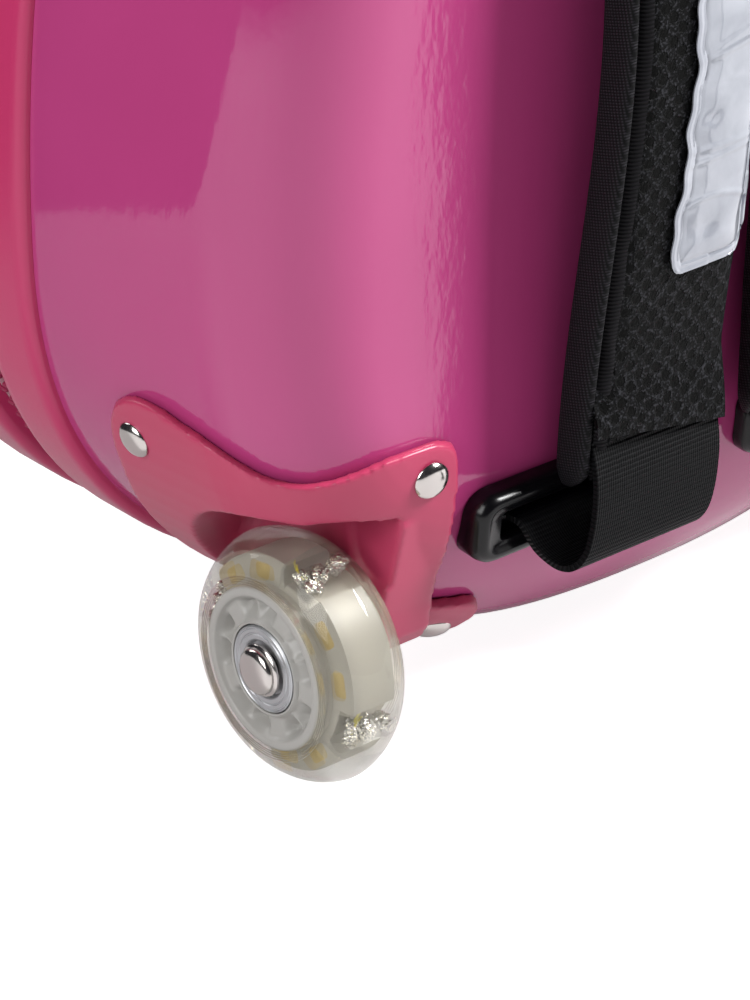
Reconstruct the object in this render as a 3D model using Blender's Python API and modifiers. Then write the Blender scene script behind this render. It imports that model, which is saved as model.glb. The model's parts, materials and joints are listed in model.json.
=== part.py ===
"""Kids hard-shell trolley backpack: two moulded half shells, light-up wheels, straps and pull handle.

Units are metres, +Z is up and the case stands on z = 0. The back, which the straps lie on, faces -Y, and
X is the width, seen from the back. Every place here is measured from the zip, which runs round the case in
the plane y = 0; at the end the whole piece moves to stand with its middle over the origin.
"""
import math

import bmesh
import bpy
from mathutils import Matrix, Vector
from mathutils.bvhtree import BVHTree

# Case outline, seen from the back
HALF_WIDTH = 0.137
BOTTOM_Z = 0.008
WIDEST_Z = 0.125
TOP_Z = 0.376
LOWER_POWER = 2.4
UPPER_POWER = 2.0
OUTLINE_POINTS = 46

# Half shells
RIM_Y = 0.028
BACK_Y = 0.116
FRONT_Y = 0.084
SHELL_WALL = 0.002
DRAFT = math.radians(2.5)
SIDE_ROUND = 0.032
END_ROUND = 0.060
SIDE_ROUND_DEPTH = 0.031
END_ROUND_DEPTH = 0.035
FIT = 0.0003
CUT_PAST = 0.02

# Rim bands and zip
RIM_PROUD = 0.003
RIM_DEPTH = 0.005
RIM_FLANGE = 0.010
RIM_FLANGE_WALL = 0.002
ZIP_HALF = 0.006
COIL_HALF = 0.0022
COIL_TOP = 0.0002
TAPE_TOP = -0.0020
TAPE_INNER = -0.0045

# Zip sliders and pulls
SLIDER_HALF_LENGTH = 0.0065
SLIDER_HALF_WIDTH = 0.0042
SLIDER_BODY = 0.0030
SLIDER_REST = 0.105
BRIDGE_HALF_LENGTH = 0.0045
BRIDGE_HALF_WIDTH = 0.0010
BRIDGE_WINDOW = 0.0026
BRIDGE_GAP = 0.0022
BRIDGE_TOP = 0.0011
BRIDGE_SUNK = 0.0005
SLIDER_ROUND = 0.0009
PULL_LENGTH = 0.026
PULL_HALF_WIDTH = 0.0040
PULL_THICK = 0.0012
PULL_BAR = 0.0013
PULL_SLOT = 0.0048
PULL_SLOT_PLAY = 0.0008

# Wheels, with the outward side of each wheel as the positive direction of its own axis
WHEEL_X = 0.114
WHEEL_Y = -0.0984
WHEEL_RADIUS = 0.032
TYRE_HALF_WIDTH = 0.012
TREAD_THICK = 0.0077
TYRE_LIP_HEIGHT = 0.0035
TYRE_SHOULDER = 0.0016
HUB_SUNK = 0.0003
HUB_LIP_WIDTH = 0.0034
HUB_RIM_WALL = 0.0028
HUB_DISH = 0.0070
HUB_BOSS_WALL = 0.0022
HUB_WEB = 0.0012
HUB_RIM_DRAFT = 0.001
HUB_BOSS_DRAFT = 0.0008
BEARING_RADIUS = 0.011
BEARING_BORE = 0.004
BEARING_WIDTH = 0.007
BEARING_SUNK = 0.0005
SLEEVE_WALL = 0.0022
AXLE_PLAY = 0.00015
AXLE_HEAD_RADIUS = 0.0065
AXLE_HEAD_HEIGHT = 0.0036
TYRE_BORE = WHEEL_RADIUS - TREAD_THICK
TYRE_LIP = TYRE_BORE - TYRE_LIP_HEIGHT
HUB_HALF_WIDTH = TYRE_HALF_WIDTH - HUB_SUNK
HUB_BARREL_HALF = TYRE_HALF_WIDTH - HUB_LIP_WIDTH
BEARING_FACE = TYRE_HALF_WIDTH - BEARING_SUNK
SLEEVE_RADIUS = BEARING_BORE + SLEEVE_WALL

# Wheel housings
WHEEL_CLEARANCE = 0.0075
WHEEL_SIDE_CLEARANCE = 0.0025
POCKET_ROUND = 0.004
CUP_WALL = 0.003
AXLE_BOSS_WALL = 0.0025
HOUSING_THICK = 0.003
POCKET_RADIUS = WHEEL_RADIUS + WHEEL_CLEARANCE
POCKET_INNER = TYRE_HALF_WIDTH + WHEEL_SIDE_CLEARANCE
HOUSING_FRONT_Y = -0.046
HOUSING_INNER_X = 0.0825
HOUSING_EDGE = [(-0.0376, 0.0495), (-0.0400, 0.0565), (-0.0424, 0.0680), (-0.0441, 0.0790),
                (-0.0434, 0.0858), (-0.0414, 0.0900), (-0.0378, 0.0928), (-0.0325, 0.0936),
                (-0.0250, 0.0920), (-0.0178, 0.0903), (-0.0108, 0.0873), (-0.0040, 0.0844),
                (0.0025, 0.0831), (0.0091, 0.0834), (0.0157, 0.0850), (0.0228, 0.0870),
                (0.0295, 0.0876), (0.0352, 0.0868), (0.0385, 0.0838), (0.0394, 0.0785),
                (0.0388, 0.0660)]
LUG_SIDE = [(-0.1172, 0.0680), (-0.1105, 0.0410), (-0.1092, 0.0330), (-0.1065, 0.0290), (-0.1020, 0.0270),
            (-0.0860, 0.0270), (-0.0800, 0.0290), (-0.0770, 0.0340), (-0.0760, 0.0680)]
HOUSING_LEDGE = [(0.0, -0.014), (0.050, -0.018)]
HOUSING_TRIM_OUT = 0.001
AXLE_SEAT = 0.0075
TAB_REACH = 0.0230
TAB_HALF_LENGTH = 0.0140
TAB_CORNER = 0.006
TAB_SHIFT = 0.0037
TAB_DEPTH = 0.012
RIVET_POINTS = [(0.1338, -0.0610, 0.0810), (0.0910, -0.1190, 0.0787), (0.0715, -0.0985, 0.0205)]
RIVET_HEAD_RADIUS = 0.0048
RIVET_HEAD_HEIGHT = 0.0018
RIVET_SHANK = 0.002
RIVET_TAIL_RADIUS = 0.0036
RIVET_TAIL_HEIGHT = 0.0012
RIVET_TAIL_GAP = 0.0003
RIVET_HOLE_IN = 0.012
RIVET_HOLE_OUT = 0.004

# Strap brackets, webbing, pads and reflective strips
BRACKET_X = 0.0450
BRACKET_Z = 0.0600
BRACKET_HALF_HEIGHT = 0.0095
BRACKET_PROUD = 0.0065
BRACKET_ROUND = 0.0045
BRACKET_SUNK = 0.012
BRACKET_END = 0.0080
BACKING_THICK = 0.0054
BACKING_GAP = 0.0032
STUD_RADIUS = 0.002
STUD_LENGTH = 0.0105
WEBBING_HALF_WIDTH = 0.0215
WEBBING_THICK = 0.0016
SLOT_SIDE = 0.003
SLOT_HALF_HEIGHT = 0.0034
SLOT_FLOOR = 0.22
SLOT_HALF_LENGTH = WEBBING_HALF_WIDTH + SLOT_SIDE
BRACKET_HALF_LENGTH = SLOT_HALF_LENGTH + BRACKET_END
WEBBING_LOOP = [(0.0020, -0.1249, 0.0536), (0.0050, -0.1277, 0.0500), (0.0075, -0.1302, 0.0487),
                (0.0095, -0.1323, 0.0494), (0.0112, -0.1336, 0.0525), (0.0125, -0.1335, 0.0575)]
PAD_HALF_WIDTH = 0.0235
PAD_THICK = 0.010
PAD_BOTTOM_Z = 0.066
PAD_Y = -0.1270
PAD_BOW = 0.006
PAD_LOW_X = 0.0315
PAD_HIGH_X = 0.0250
PAD_LEAN_SHARE = 0.6
PAD_SIDE = [(0.00, 1.00), (0.50, 0.94), (0.78, 0.70), (0.88, 0.78), (1.00, 0.38)]
STRIP_HALF_WIDTH = 0.0125
STRIP_THICK = 0.0008
STRIP_BOTTOM_Z = 0.1190
STRIP_BELOW_PAD_TOP = 0.046
STRIP_SHIFT = 0.0097
YOKE_HALF_WIDTH = 0.052
YOKE_HALF_HEIGHT = 0.019
YOKE_DROP = 0.0645
YOKE_PROUD = 0.008
YOKE_ROUND = 0.005
YOKE_GAP = 0.0005
YOKE_Z = TOP_Z - YOKE_DROP
PAD_TOP_Z = YOKE_Z - YOKE_HALF_HEIGHT - YOKE_GAP
STRIP_TOP_Z = PAD_TOP_Z - STRIP_BELOW_PAD_TOP

# Pull handle
TUBE_X = 0.034
TUBE_Y = -0.096
OUTER_TUBE_RADIUS = 0.008
TUBE_WALL = 0.001
TUBE_PLAY = 0.0003
OUTER_TUBE_BOTTOM = 0.0415
STAGE_STEP = 0.008
BEZEL_BELOW_TOP = 0.0015
BEZEL_HEIGHT = 0.052
BEZEL_END = 0.013
BEZEL_HALF_WIDTH = 0.013
BEZEL_ROUND = 0.003
BEZEL_TOP_Z = TOP_Z - BEZEL_BELOW_TOP
BASE_HALF_HEIGHT = 0.007
BASE_FRONT = 0.011
BASE_BACK = 0.019
BASE_OVERHANG = 0.012
BASE_ROUND = 0.002
BASE_SEAT_DEPTH = 0.02
GRIP_END = 0.016
GRIP_HALF_WIDTH = 0.0115
GRIP_HEIGHT = 0.021
GRIP_GAP = 0.0012
GRIP_SOCKET = 0.012
GRIP_ROUND = 0.007
BUTTON_HALF_LENGTH = 0.013
BUTTON_HALF_WIDTH = 0.006
BUTTON_PROUD = 0.0030
BUTTON_TRAVEL = 0.0030
BUTTON_SEAT = 0.0045
BUTTON_ROUND = 0.0012

# Carry handle on the top
CARRY_Y = -0.052
CARRY_PIVOT_X = 0.040
CARRY_BELOW_TOP = 0.005
CARRY_RISE = 0.024
CARRY_RADIUS = 0.0055
CARRY_PIN_RADIUS = 0.0025
CARRY_PIN_LENGTH = 0.005
MOUNT_HALF_LENGTH = 0.006
MOUNT_HALF_WIDTH = 0.010
MOUNT_HEIGHT = 0.028
MOUNT_RISE = 0.0055
MOUNT_ROUND = 0.002
CARRY_PIVOT_Z = TOP_Z - CARRY_BELOW_TOP

# Front feet, lid pocket and packing strap
FOOT_X = 0.044
FOOT_Y = 0.052
FOOT_RADIUS = 0.011
FOOT_EDGE = 0.0035
FOOT_BLANK = 0.05
PANEL_THICK = 0.0015
PANEL_Y = 0.0080
PANEL_BELOW_TOP = 0.114
PANEL_TOP_Z = TOP_Z - PANEL_BELOW_TOP
PACKING_Z = 0.190
PACKING_Y = -0.042
PACKING_HALF_WIDTH = 0.0125
PACKING_THICK = 0.0015
BUCKLE_HALF_LENGTH = 0.022
BUCKLE_HALF_WIDTH = 0.018
BUCKLE_THICK = 0.008
BUCKLE_MOUTH = 0.008
BUCKLE_ROUND = 0.002


def clear_scene():
    for item in list(bpy.data.objects):
        bpy.data.objects.remove(item, do_unlink=True)


def new_collection(name):
    group = bpy.data.collections.new(name)
    bpy.context.scene.collection.children.link(group)
    return group


def new_material(name, colour, roughness, metallic=0.0):
    made = bpy.data.materials.new(name)
    made.use_nodes = True
    shader = made.node_tree.nodes["Principled BSDF"]
    shader.inputs["Base Color"].default_value = (*colour, 1.0)
    shader.inputs["Roughness"].default_value = roughness
    shader.inputs["Metallic"].default_value = metallic
    made.diffuse_color = (*colour, 1.0)
    return made


clear_scene()
PARTS = new_collection("kids_suitcase")
CUTTERS = new_collection("cutters")
CUTTERS.hide_render = True


def add_object(name, mesh, material):
    """Put a mesh in the scene: as a part when it has a material, and otherwise as a hidden cutter."""
    item = bpy.data.objects.new(name, mesh)
    if material is None:
        CUTTERS.objects.link(item)
        item.hide_render = True
        item.display_type = "WIRE"
    else:
        PARTS.objects.link(item)
        mesh.materials.clear()
        mesh.materials.append(material)
    return item


def from_bmesh(name, work, material):
    mesh = bpy.data.meshes.new(name)
    work.to_mesh(mesh)
    work.free()
    return add_object(name, mesh, material)


def box(name, centre, half, material=None, bevel=0.0, segments=2):
    """A box with its edges rounded, placed by its centre and half sizes."""
    work = bmesh.new()
    bmesh.ops.create_cube(work, size=2.0, matrix=Matrix.Diagonal((*half, 1.0)))
    item = from_bmesh(name, work, material)
    item.matrix_world = Matrix.Translation(centre)
    if bevel:
        rounding = item.modifiers.new("round", "BEVEL")
        rounding.width = bevel
        rounding.segments = segments
    return item


def rod(name, start, end, radius, material=None, sides=24):
    """A plain round bar between two points."""
    start = Vector(start)
    end = Vector(end)
    work = bmesh.new()
    bmesh.ops.create_cone(work, cap_ends=True, segments=sides, radius1=radius, radius2=radius,
                          depth=(end - start).length)
    item = from_bmesh(name, work, material)
    item.matrix_world = facing((start + end) / 2, end - start)
    return item


def facing(place, direction):
    """A matrix at place whose Z axis points along direction."""
    turn = Vector(direction).to_track_quat("Z", "Y").to_matrix().to_4x4()
    return Matrix.Translation(place) @ turn


def turned(name, profile, place, direction, material, steps=32, closed=True):
    """A turned solid: (radius, height) pairs that run down the outer side, spun about direction."""
    work = bmesh.new()
    points = [work.verts.new((radius, 0.0, height)) for radius, height in profile]
    for first, second in zip(points, points[1:]):
        work.edges.new((first, second))
    if closed:
        work.edges.new((points[-1], points[0]))
    item = from_bmesh(name, work, material)
    spin = item.modifiers.new("turn", "SCREW")
    spin.steps = steps
    spin.render_steps = steps
    spin.use_merge_vertices = True
    spin.merge_threshold = 0.00001
    spin.use_smooth_shade = False
    item.matrix_world = facing(place, direction)
    return item


def loft(name, rings, material, ring_closed=False):
    """Skin a row of rings that have as many points each; the row is capped or joined to its start."""
    work = bmesh.new()
    rows = [[work.verts.new(point) for point in ring] for ring in rings]
    count = len(rows[0])
    pairs = list(zip(rows, rows[1:]))
    if ring_closed:
        pairs.append((rows[-1], rows[0]))
    else:
        work.faces.new(rows[0])
        work.faces.new(rows[-1])
    for first, second in pairs:
        for step in range(count):
            after = (step + 1) % count
            work.faces.new((first[step], first[after], second[after]))
            work.faces.new((first[step], second[after], second[step]))
    bmesh.ops.recalc_face_normals(work, faces=work.faces)
    return from_bmesh(name, work, material)


def boolean(target, cutter, operation="DIFFERENCE"):
    step = target.modifiers.new(operation.lower(), "BOOLEAN")
    step.operation = operation
    step.object = cutter
    step.solver = "EXACT"


def outline(count=OUTLINE_POINTS):
    """Points round the case, evenly spaced from the top, each with its outward direction, as (x, z) pairs."""
    fine = 1440
    dense = []
    for step in range(fine):
        angle = math.pi / 2 + math.tau * step / fine
        power = UPPER_POWER if math.sin(angle) >= 0 else LOWER_POWER
        reach = TOP_Z - WIDEST_Z if math.sin(angle) >= 0 else WIDEST_Z - BOTTOM_Z
        across = math.copysign(abs(math.cos(angle)) ** (2 / power), math.cos(angle))
        up = math.copysign(abs(math.sin(angle)) ** (2 / power), math.sin(angle))
        dense.append(Vector((HALF_WIDTH * across, WIDEST_Z + reach * up)))
    lengths = [0.0]
    for step in range(fine):
        lengths.append(lengths[-1] + (dense[(step + 1) % fine] - dense[step]).length)
    points = []
    place = 0
    for step in range(count):
        wanted = lengths[-1] * step / count
        while lengths[place + 1] <= wanted:
            place += 1
        share = (wanted - lengths[place]) / (lengths[place + 1] - lengths[place])
        points.append(dense[place].lerp(dense[(place + 1) % fine], share))
    result = []
    for step, point in enumerate(points):
        along = (points[(step + 1) % count] - points[step - 1]).normalized()
        result.append((point, Vector((along.y, -along.x))))
    return result


def shell_rings(side, offset=0.0, count=OUTLINE_POINTS, corner_steps=5, wall_steps=1, reach=None):
    """Rings of a half shell's outer face, from its rim to its flat back or front, moved out by offset."""
    face = BACK_Y if side < 0 else FRONT_Y
    rim = RIM_Y if reach is None else reach
    around = outline(count)
    rounds = []
    for _, away in around:
        share = away.y ** 2
        rounds.append((SIDE_ROUND + (END_ROUND - SIDE_ROUND) * share,
                       SIDE_ROUND_DEPTH + (END_ROUND_DEPTH - SIDE_ROUND_DEPTH) * share))
    rings = []
    for step in range(wall_steps + 1):
        ring = []
        for (point, away), (_, deep) in zip(around, rounds):
            depth = rim + (face - deep - rim) * step / wall_steps
            inset = (depth - RIM_Y) * math.tan(DRAFT) - offset
            ring.append((point.x - away.x * inset, side * depth, point.y - away.y * inset))
        rings.append(ring)
    for step in range(1, corner_steps + 1):
        angle = math.pi / 2 * step / corner_steps
        ring = []
        for (point, away), (wide, deep) in zip(around, rounds):
            start = (face - deep - RIM_Y) * math.tan(DRAFT)
            inset = start + (wide - start) * (1 - math.cos(angle)) - offset * math.cos(angle)
            depth = face - deep * (1 - math.sin(angle)) + offset * math.sin(angle)
            ring.append((point.x - away.x * inset, side * depth, point.y - away.y * inset))
        rings.append(ring)
    return rings


def body(name, side, offset, material=None, **sizes):
    """A solid block with the outer shape of a half shell, grown by offset."""
    return loft(name, shell_rings(side, offset, **sizes), material)


def prism(name, corners, start, end, material=None):
    """A straight prism along X whose section is a list of (y, z) corners."""
    return loft(name, [[(across, y, z) for y, z in corners] for across in (start, end)], material)


def half_shell(name, side, material):
    """A half shell: its outer face, with the wall added on the inside."""
    work = bmesh.new()
    rows = [[work.verts.new(point) for point in ring] for ring in shell_rings(side)]
    count = len(rows[0])
    for first, second in zip(rows, rows[1:]):
        for step in range(count):
            after = (step + 1) % count
            work.faces.new((first[step], first[after], second[after]))
            work.faces.new((first[step], second[after], second[step]))
    cap = work.faces.new(rows[-1])
    bmesh.ops.recalc_face_normals(work, faces=work.faces)
    cap.normal_update()
    if cap.normal.y * side < 0:
        bmesh.ops.reverse_faces(work, faces=work.faces)
    item = from_bmesh(name, work, material)
    wall = item.modifiers.new("wall", "SOLIDIFY")
    wall.thickness = SHELL_WALL
    wall.offset = -1.0
    wall.use_even_offset = True
    return item


def band(name, section, material):
    """A ring round the case whose section is a list of (outward, y) pairs."""
    rings = []
    for point, away in outline():
        rings.append([(point.x + away.x * out, depth, point.y + away.y * out) for out, depth in section])
    return loft(name, rings, material, ring_closed=True)


def surface_point(place, side=-1, offset=0.0):
    """The point of a half shell's outer face nearest to place, and the direction square to it."""
    rings = shell_rings(side, offset)
    count = len(rings[0])
    points = [Vector(point) for ring in rings for point in ring]
    faces = []
    for row in range(len(rings) - 1):
        for step in range(count):
            after = (step + 1) % count
            faces.append([row * count + step, row * count + after,
                          (row + 1) * count + after, (row + 1) * count + step])
    faces.append([(len(rings) - 1) * count + step for step in range(count)])
    here, away, _, _ = BVHTree.FromPolygons(points, faces).find_nearest(Vector(place))
    middle = Vector((0.0, 0.0, (BOTTOM_Z + TOP_Z) / 2))
    if away.dot(here - middle) < 0:
        away.negate()
    return here, away


def mirrored(point, side):
    return Vector((point[0] * side, point[1], point[2]))


PINK = new_material("pink shell", (0.45, 0.07, 0.20), 0.12)
RIM_PINK = new_material("rim pink", (0.50, 0.06, 0.13), 0.35)
HOUSING_PINK = new_material("housing pink", (0.47, 0.06, 0.12), 0.32)
ZIP_TAPE = new_material("zip tape", (0.28, 0.02, 0.06), 0.85)
STEEL = new_material("plated steel", (0.62, 0.60, 0.58), 0.22, 1.0)
CLEAR = new_material("clear tyre", (0.80, 0.77, 0.66), 0.15)
WHITE = new_material("white hub", (0.80, 0.79, 0.77), 0.40)
BLACK = new_material("black plastic", (0.012, 0.012, 0.013), 0.12)
WEBBING = new_material("black webbing", (0.015, 0.015, 0.016), 0.80)
MESH_CLOTH = new_material("spacer mesh", (0.012, 0.012, 0.013), 0.90)
REFLECTIVE = new_material("reflective film", (0.62, 0.63, 0.67), 0.25)
ALUMINIUM = new_material("brushed tube", (0.70, 0.70, 0.72), 0.30, 1.0)
RUBBER = new_material("black rubber", (0.02, 0.02, 0.02), 0.70)
LINING = new_material("lining cloth", (0.20, 0.02, 0.07), 0.90)


def rims_and_zip():
    """The moulded rim bands, and the zip halves that lie between them."""
    for side, half in ((-1, "rear"), (1, "front")):
        outer = RIM_Y - FIT
        inner = ZIP_HALF + FIT
        flange = -RIM_DEPTH + RIM_FLANGE_WALL
        rim = [(-RIM_DEPTH, RIM_Y + RIM_FLANGE), (flange, RIM_Y + RIM_FLANGE), (flange, outer),
               (RIM_PROUD * 0.4, outer), (RIM_PROUD, outer - 0.0030), (RIM_PROUD, inner + 0.0030),
               (RIM_PROUD * 0.4, inner), (-RIM_DEPTH, inner)]
        band(half + "_rim", [(out, side * depth) for out, depth in rim], RIM_PINK)
        seam = FIT / 2
        zip_half = [(TAPE_INNER, ZIP_HALF), (TAPE_TOP, ZIP_HALF), (TAPE_TOP, COIL_HALF),
                    (COIL_TOP, COIL_HALF * 0.8), (COIL_TOP, seam), (TAPE_INNER, seam)]
        band(half + "_zip_tape", [(out, side * depth) for out, depth in zip_half], ZIP_TAPE)


def arch_radius():
    """Radius of curvature of the outline at the very top, where the sliders run."""
    return HALF_WIDTH ** 2 / (TOP_Z - WIDEST_Z)


def zip_sliders():
    """Two sliders that meet at the top of the arch, each with a pull lying outwards from it."""
    radius = arch_radius()
    centre = Vector((0.0, 0.0, TOP_Z - radius))
    for side, hand in ((-1, "left"), (1, "right")):
        angle = SLIDER_REST * side
        away = Vector((math.sin(angle), 0.0, math.cos(angle)))
        along = Vector((math.cos(angle), 0.0, -math.sin(angle))) * side
        across = away.cross(along)
        seat = centre + away * (radius + COIL_TOP + FIT)
        frame = Matrix.Translation(seat) @ Matrix((along, across, away)).transposed().to_4x4()
        slider = box(hand + "_zip_slider", (0, 0, 0),
                     (SLIDER_HALF_LENGTH, SLIDER_HALF_WIDTH, SLIDER_BODY / 2), STEEL)
        slider.matrix_world = frame @ Matrix.Translation((0, 0, SLIDER_BODY / 2))
        taper = slider.modifiers.new("round", "BEVEL")
        taper.width = SLIDER_ROUND
        taper.segments = 2
        height = BRIDGE_GAP + BRIDGE_TOP
        bridge = box(hand + "_bridge", (0, 0, 0),
                     (BRIDGE_HALF_LENGTH, BRIDGE_HALF_WIDTH, (height + BRIDGE_SUNK) / 2))
        bridge.matrix_world = frame @ Matrix.Translation((0, 0, SLIDER_BODY + (height - BRIDGE_SUNK) / 2))
        window = box(hand + "_window", (0, 0, 0),
                     (BRIDGE_WINDOW, BRIDGE_HALF_WIDTH * 2, BRIDGE_GAP / 2))
        window.matrix_world = frame @ Matrix.Translation((0, 0, SLIDER_BODY + BRIDGE_GAP / 2))
        boolean(slider, bridge, "UNION")
        boolean(slider, window)
        pivot = frame @ Matrix.Translation((0, 0, SLIDER_BODY + BRIDGE_GAP / 2))
        pull = box(hand + "_zip_pull", (0, 0, 0),
                   (PULL_LENGTH / 2, PULL_HALF_WIDTH, PULL_THICK / 2), STEEL)
        pull.data.transform(Matrix.Translation((PULL_LENGTH / 2 - PULL_BAR / 2, 0, 0)))
        pull.matrix_world = pivot
        slot = box(hand + "_pull_slot", (0, 0, 0),
                   (PULL_SLOT / 2, BRIDGE_HALF_WIDTH + PULL_SLOT_PLAY, PULL_THICK))
        slot.matrix_world = pivot @ Matrix.Translation((PULL_BAR / 2 + PULL_SLOT / 2, 0, 0))
        boolean(pull, slot)
        hole = rod(hand + "_pull_hole", (0, 0, -PULL_THICK), (0, 0, PULL_THICK), PULL_HALF_WIDTH * 0.5)
        hole.matrix_world = pivot @ Matrix.Translation((PULL_LENGTH - PULL_HALF_WIDTH * 1.4, 0, 0))
        boolean(pull, hole)


def wheel(side, hand):
    """One light-up wheel: clear tyre, white hub, two ball bearings, a sleeve and the axle."""
    place = Vector((WHEEL_X * side, WHEEL_Y, WHEEL_RADIUS))
    outward = Vector((side, 0, 0))
    half = TYRE_HALF_WIDTH
    step = HUB_BARREL_HALF + FIT
    lip = TYRE_LIP
    crown = WHEEL_RADIUS
    shoulder = lip + TYRE_SHOULDER
    tyre = [(lip, half * 0.93), (shoulder, half), (crown * 0.82, half * 0.92),
            (crown * 0.93, half * 0.68), (crown * 0.985, half * 0.34), (crown, 0.0),
            (crown * 0.985, -half * 0.34), (crown * 0.93, -half * 0.68), (crown * 0.82, -half * 0.92),
            (shoulder, -half), (lip, -half * 0.93), (lip, -step), (TYRE_BORE, -step),
            (TYRE_BORE, step), (lip, step)]
    turned(hand + "_tyre", tyre, place, outward, CLEAR, steps=20)
    edge = TYRE_LIP - FIT
    barrel = TYRE_BORE - FIT
    seat = BEARING_RADIUS + FIT
    face = HUB_HALF_WIDTH
    rim = edge - HUB_RIM_WALL
    boss = seat + HUB_BOSS_WALL
    core = SLEEVE_RADIUS + FIT
    inner = BEARING_FACE - BEARING_WIDTH - FIT
    dish = face - HUB_DISH
    hub = [(rim, face), (edge, face), (edge, HUB_BARREL_HALF), (barrel, HUB_BARREL_HALF),
           (barrel, -HUB_BARREL_HALF), (edge, -HUB_BARREL_HALF), (edge, -face), (rim, -face),
           (rim - HUB_RIM_DRAFT, -dish), (boss + HUB_BOSS_DRAFT, -dish),
           (boss, -BEARING_FACE), (seat, -BEARING_FACE),
           (seat, -inner), (core, -inner + HUB_WEB), (core, inner - HUB_WEB), (seat, inner),
           (seat, BEARING_FACE), (boss, BEARING_FACE),
           (boss + HUB_BOSS_DRAFT, dish), (rim - HUB_RIM_DRAFT, dish)]
    turned(hand + "_hub", hub, place, outward, WHITE, steps=16)
    for way, name in ((1, "outer"), (-1, "inner")):
        near = way * (BEARING_FACE - BEARING_WIDTH)
        far = way * BEARING_FACE
        top = max(near, far)
        low = min(near, far)
        race = [(BEARING_BORE, top), (BEARING_RADIUS, top), (BEARING_RADIUS, low), (BEARING_BORE, low)]
        turned(hand + "_" + name + "_bearing", race, place, outward, STEEL, steps=12)
    between = BEARING_FACE - BEARING_WIDTH - FIT
    sleeve = [(BEARING_BORE, between), (SLEEVE_RADIUS, between), (SLEEVE_RADIUS, -between),
              (BEARING_BORE, -between)]
    turned(hand + "_magnet_sleeve", sleeve, place, outward, STEEL, steps=12)
    shank = BEARING_BORE - AXLE_PLAY
    top = BEARING_FACE + FIT
    dome = AXLE_HEAD_HEIGHT
    tail = -(POCKET_INNER + AXLE_SEAT)
    axle = [(0.0, top + dome), (AXLE_HEAD_RADIUS * 0.55, top + dome * 0.86),
            (AXLE_HEAD_RADIUS * 0.88, top + dome * 0.45), (AXLE_HEAD_RADIUS, top), (shank, top),
            (shank, tail), (0.0, tail)]
    turned(hand + "_axle", axle, place, outward, STEEL, steps=16, closed=False)


def housing_region(side, hand):
    """The prism that trims a wheel housing's top edge: a curve seen along the corner's diagonal."""
    data = bpy.data.curves.new(hand + "_housing_edge", "CURVE")
    data.dimensions = "2D"
    data.fill_mode = "BOTH"
    data.extrude = HALF_WIDTH
    data.resolution_u = 3
    line = data.splines.new("BEZIER")
    left = HOUSING_EDGE[0][0] - CUT_PAST
    right, high = HOUSING_EDGE[-1]
    ledge = [(right + along, high + up) for along, up in HOUSING_LEDGE]
    low = -1.5 * CUT_PAST
    points = HOUSING_EDGE + ledge + [(ledge[-1][0], low), (left, low)]
    line.bezier_points.add(len(points) - 1)
    for knot, (along, up) in zip(line.bezier_points, points):
        knot.co = (along, up, 0.0)
        knot.handle_left_type = "AUTO"
        knot.handle_right_type = "AUTO"
    for knot in line.bezier_points[-5:]:
        knot.handle_left_type = "VECTOR"
        knot.handle_right_type = "VECTOR"
    line.use_cyclic_u = True
    curve = bpy.data.objects.new(hand + "_housing_curve", data)
    CUTTERS.objects.link(curve)
    root = math.sqrt(0.5)
    along = Vector((root, -root, 0))
    up = Vector((0, 0, 1))
    corner = Vector((-HALF_WIDTH - HOUSING_TRIM_OUT, -BACK_Y - HOUSING_THICK, 0))
    frame = Matrix((along, up, along.cross(up))).transposed().to_4x4()
    curve.matrix_world = Matrix.Translation(corner) @ frame
    bpy.context.view_layer.update()
    seen = curve.evaluated_get(bpy.context.evaluated_depsgraph_get())
    mesh = bpy.data.meshes.new_from_object(seen)
    mesh.transform(curve.matrix_world)
    bpy.data.objects.remove(curve)
    work = bmesh.new()
    work.from_mesh(mesh)
    bmesh.ops.remove_doubles(work, verts=work.verts, dist=0.00001)
    if side > 0:
        bmesh.ops.scale(work, verts=work.verts, vec=(-1, 1, 1))
    bmesh.ops.recalc_face_normals(work, faces=work.faces)
    return from_bmesh(hand + "_housing_trim", work, None)


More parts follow.
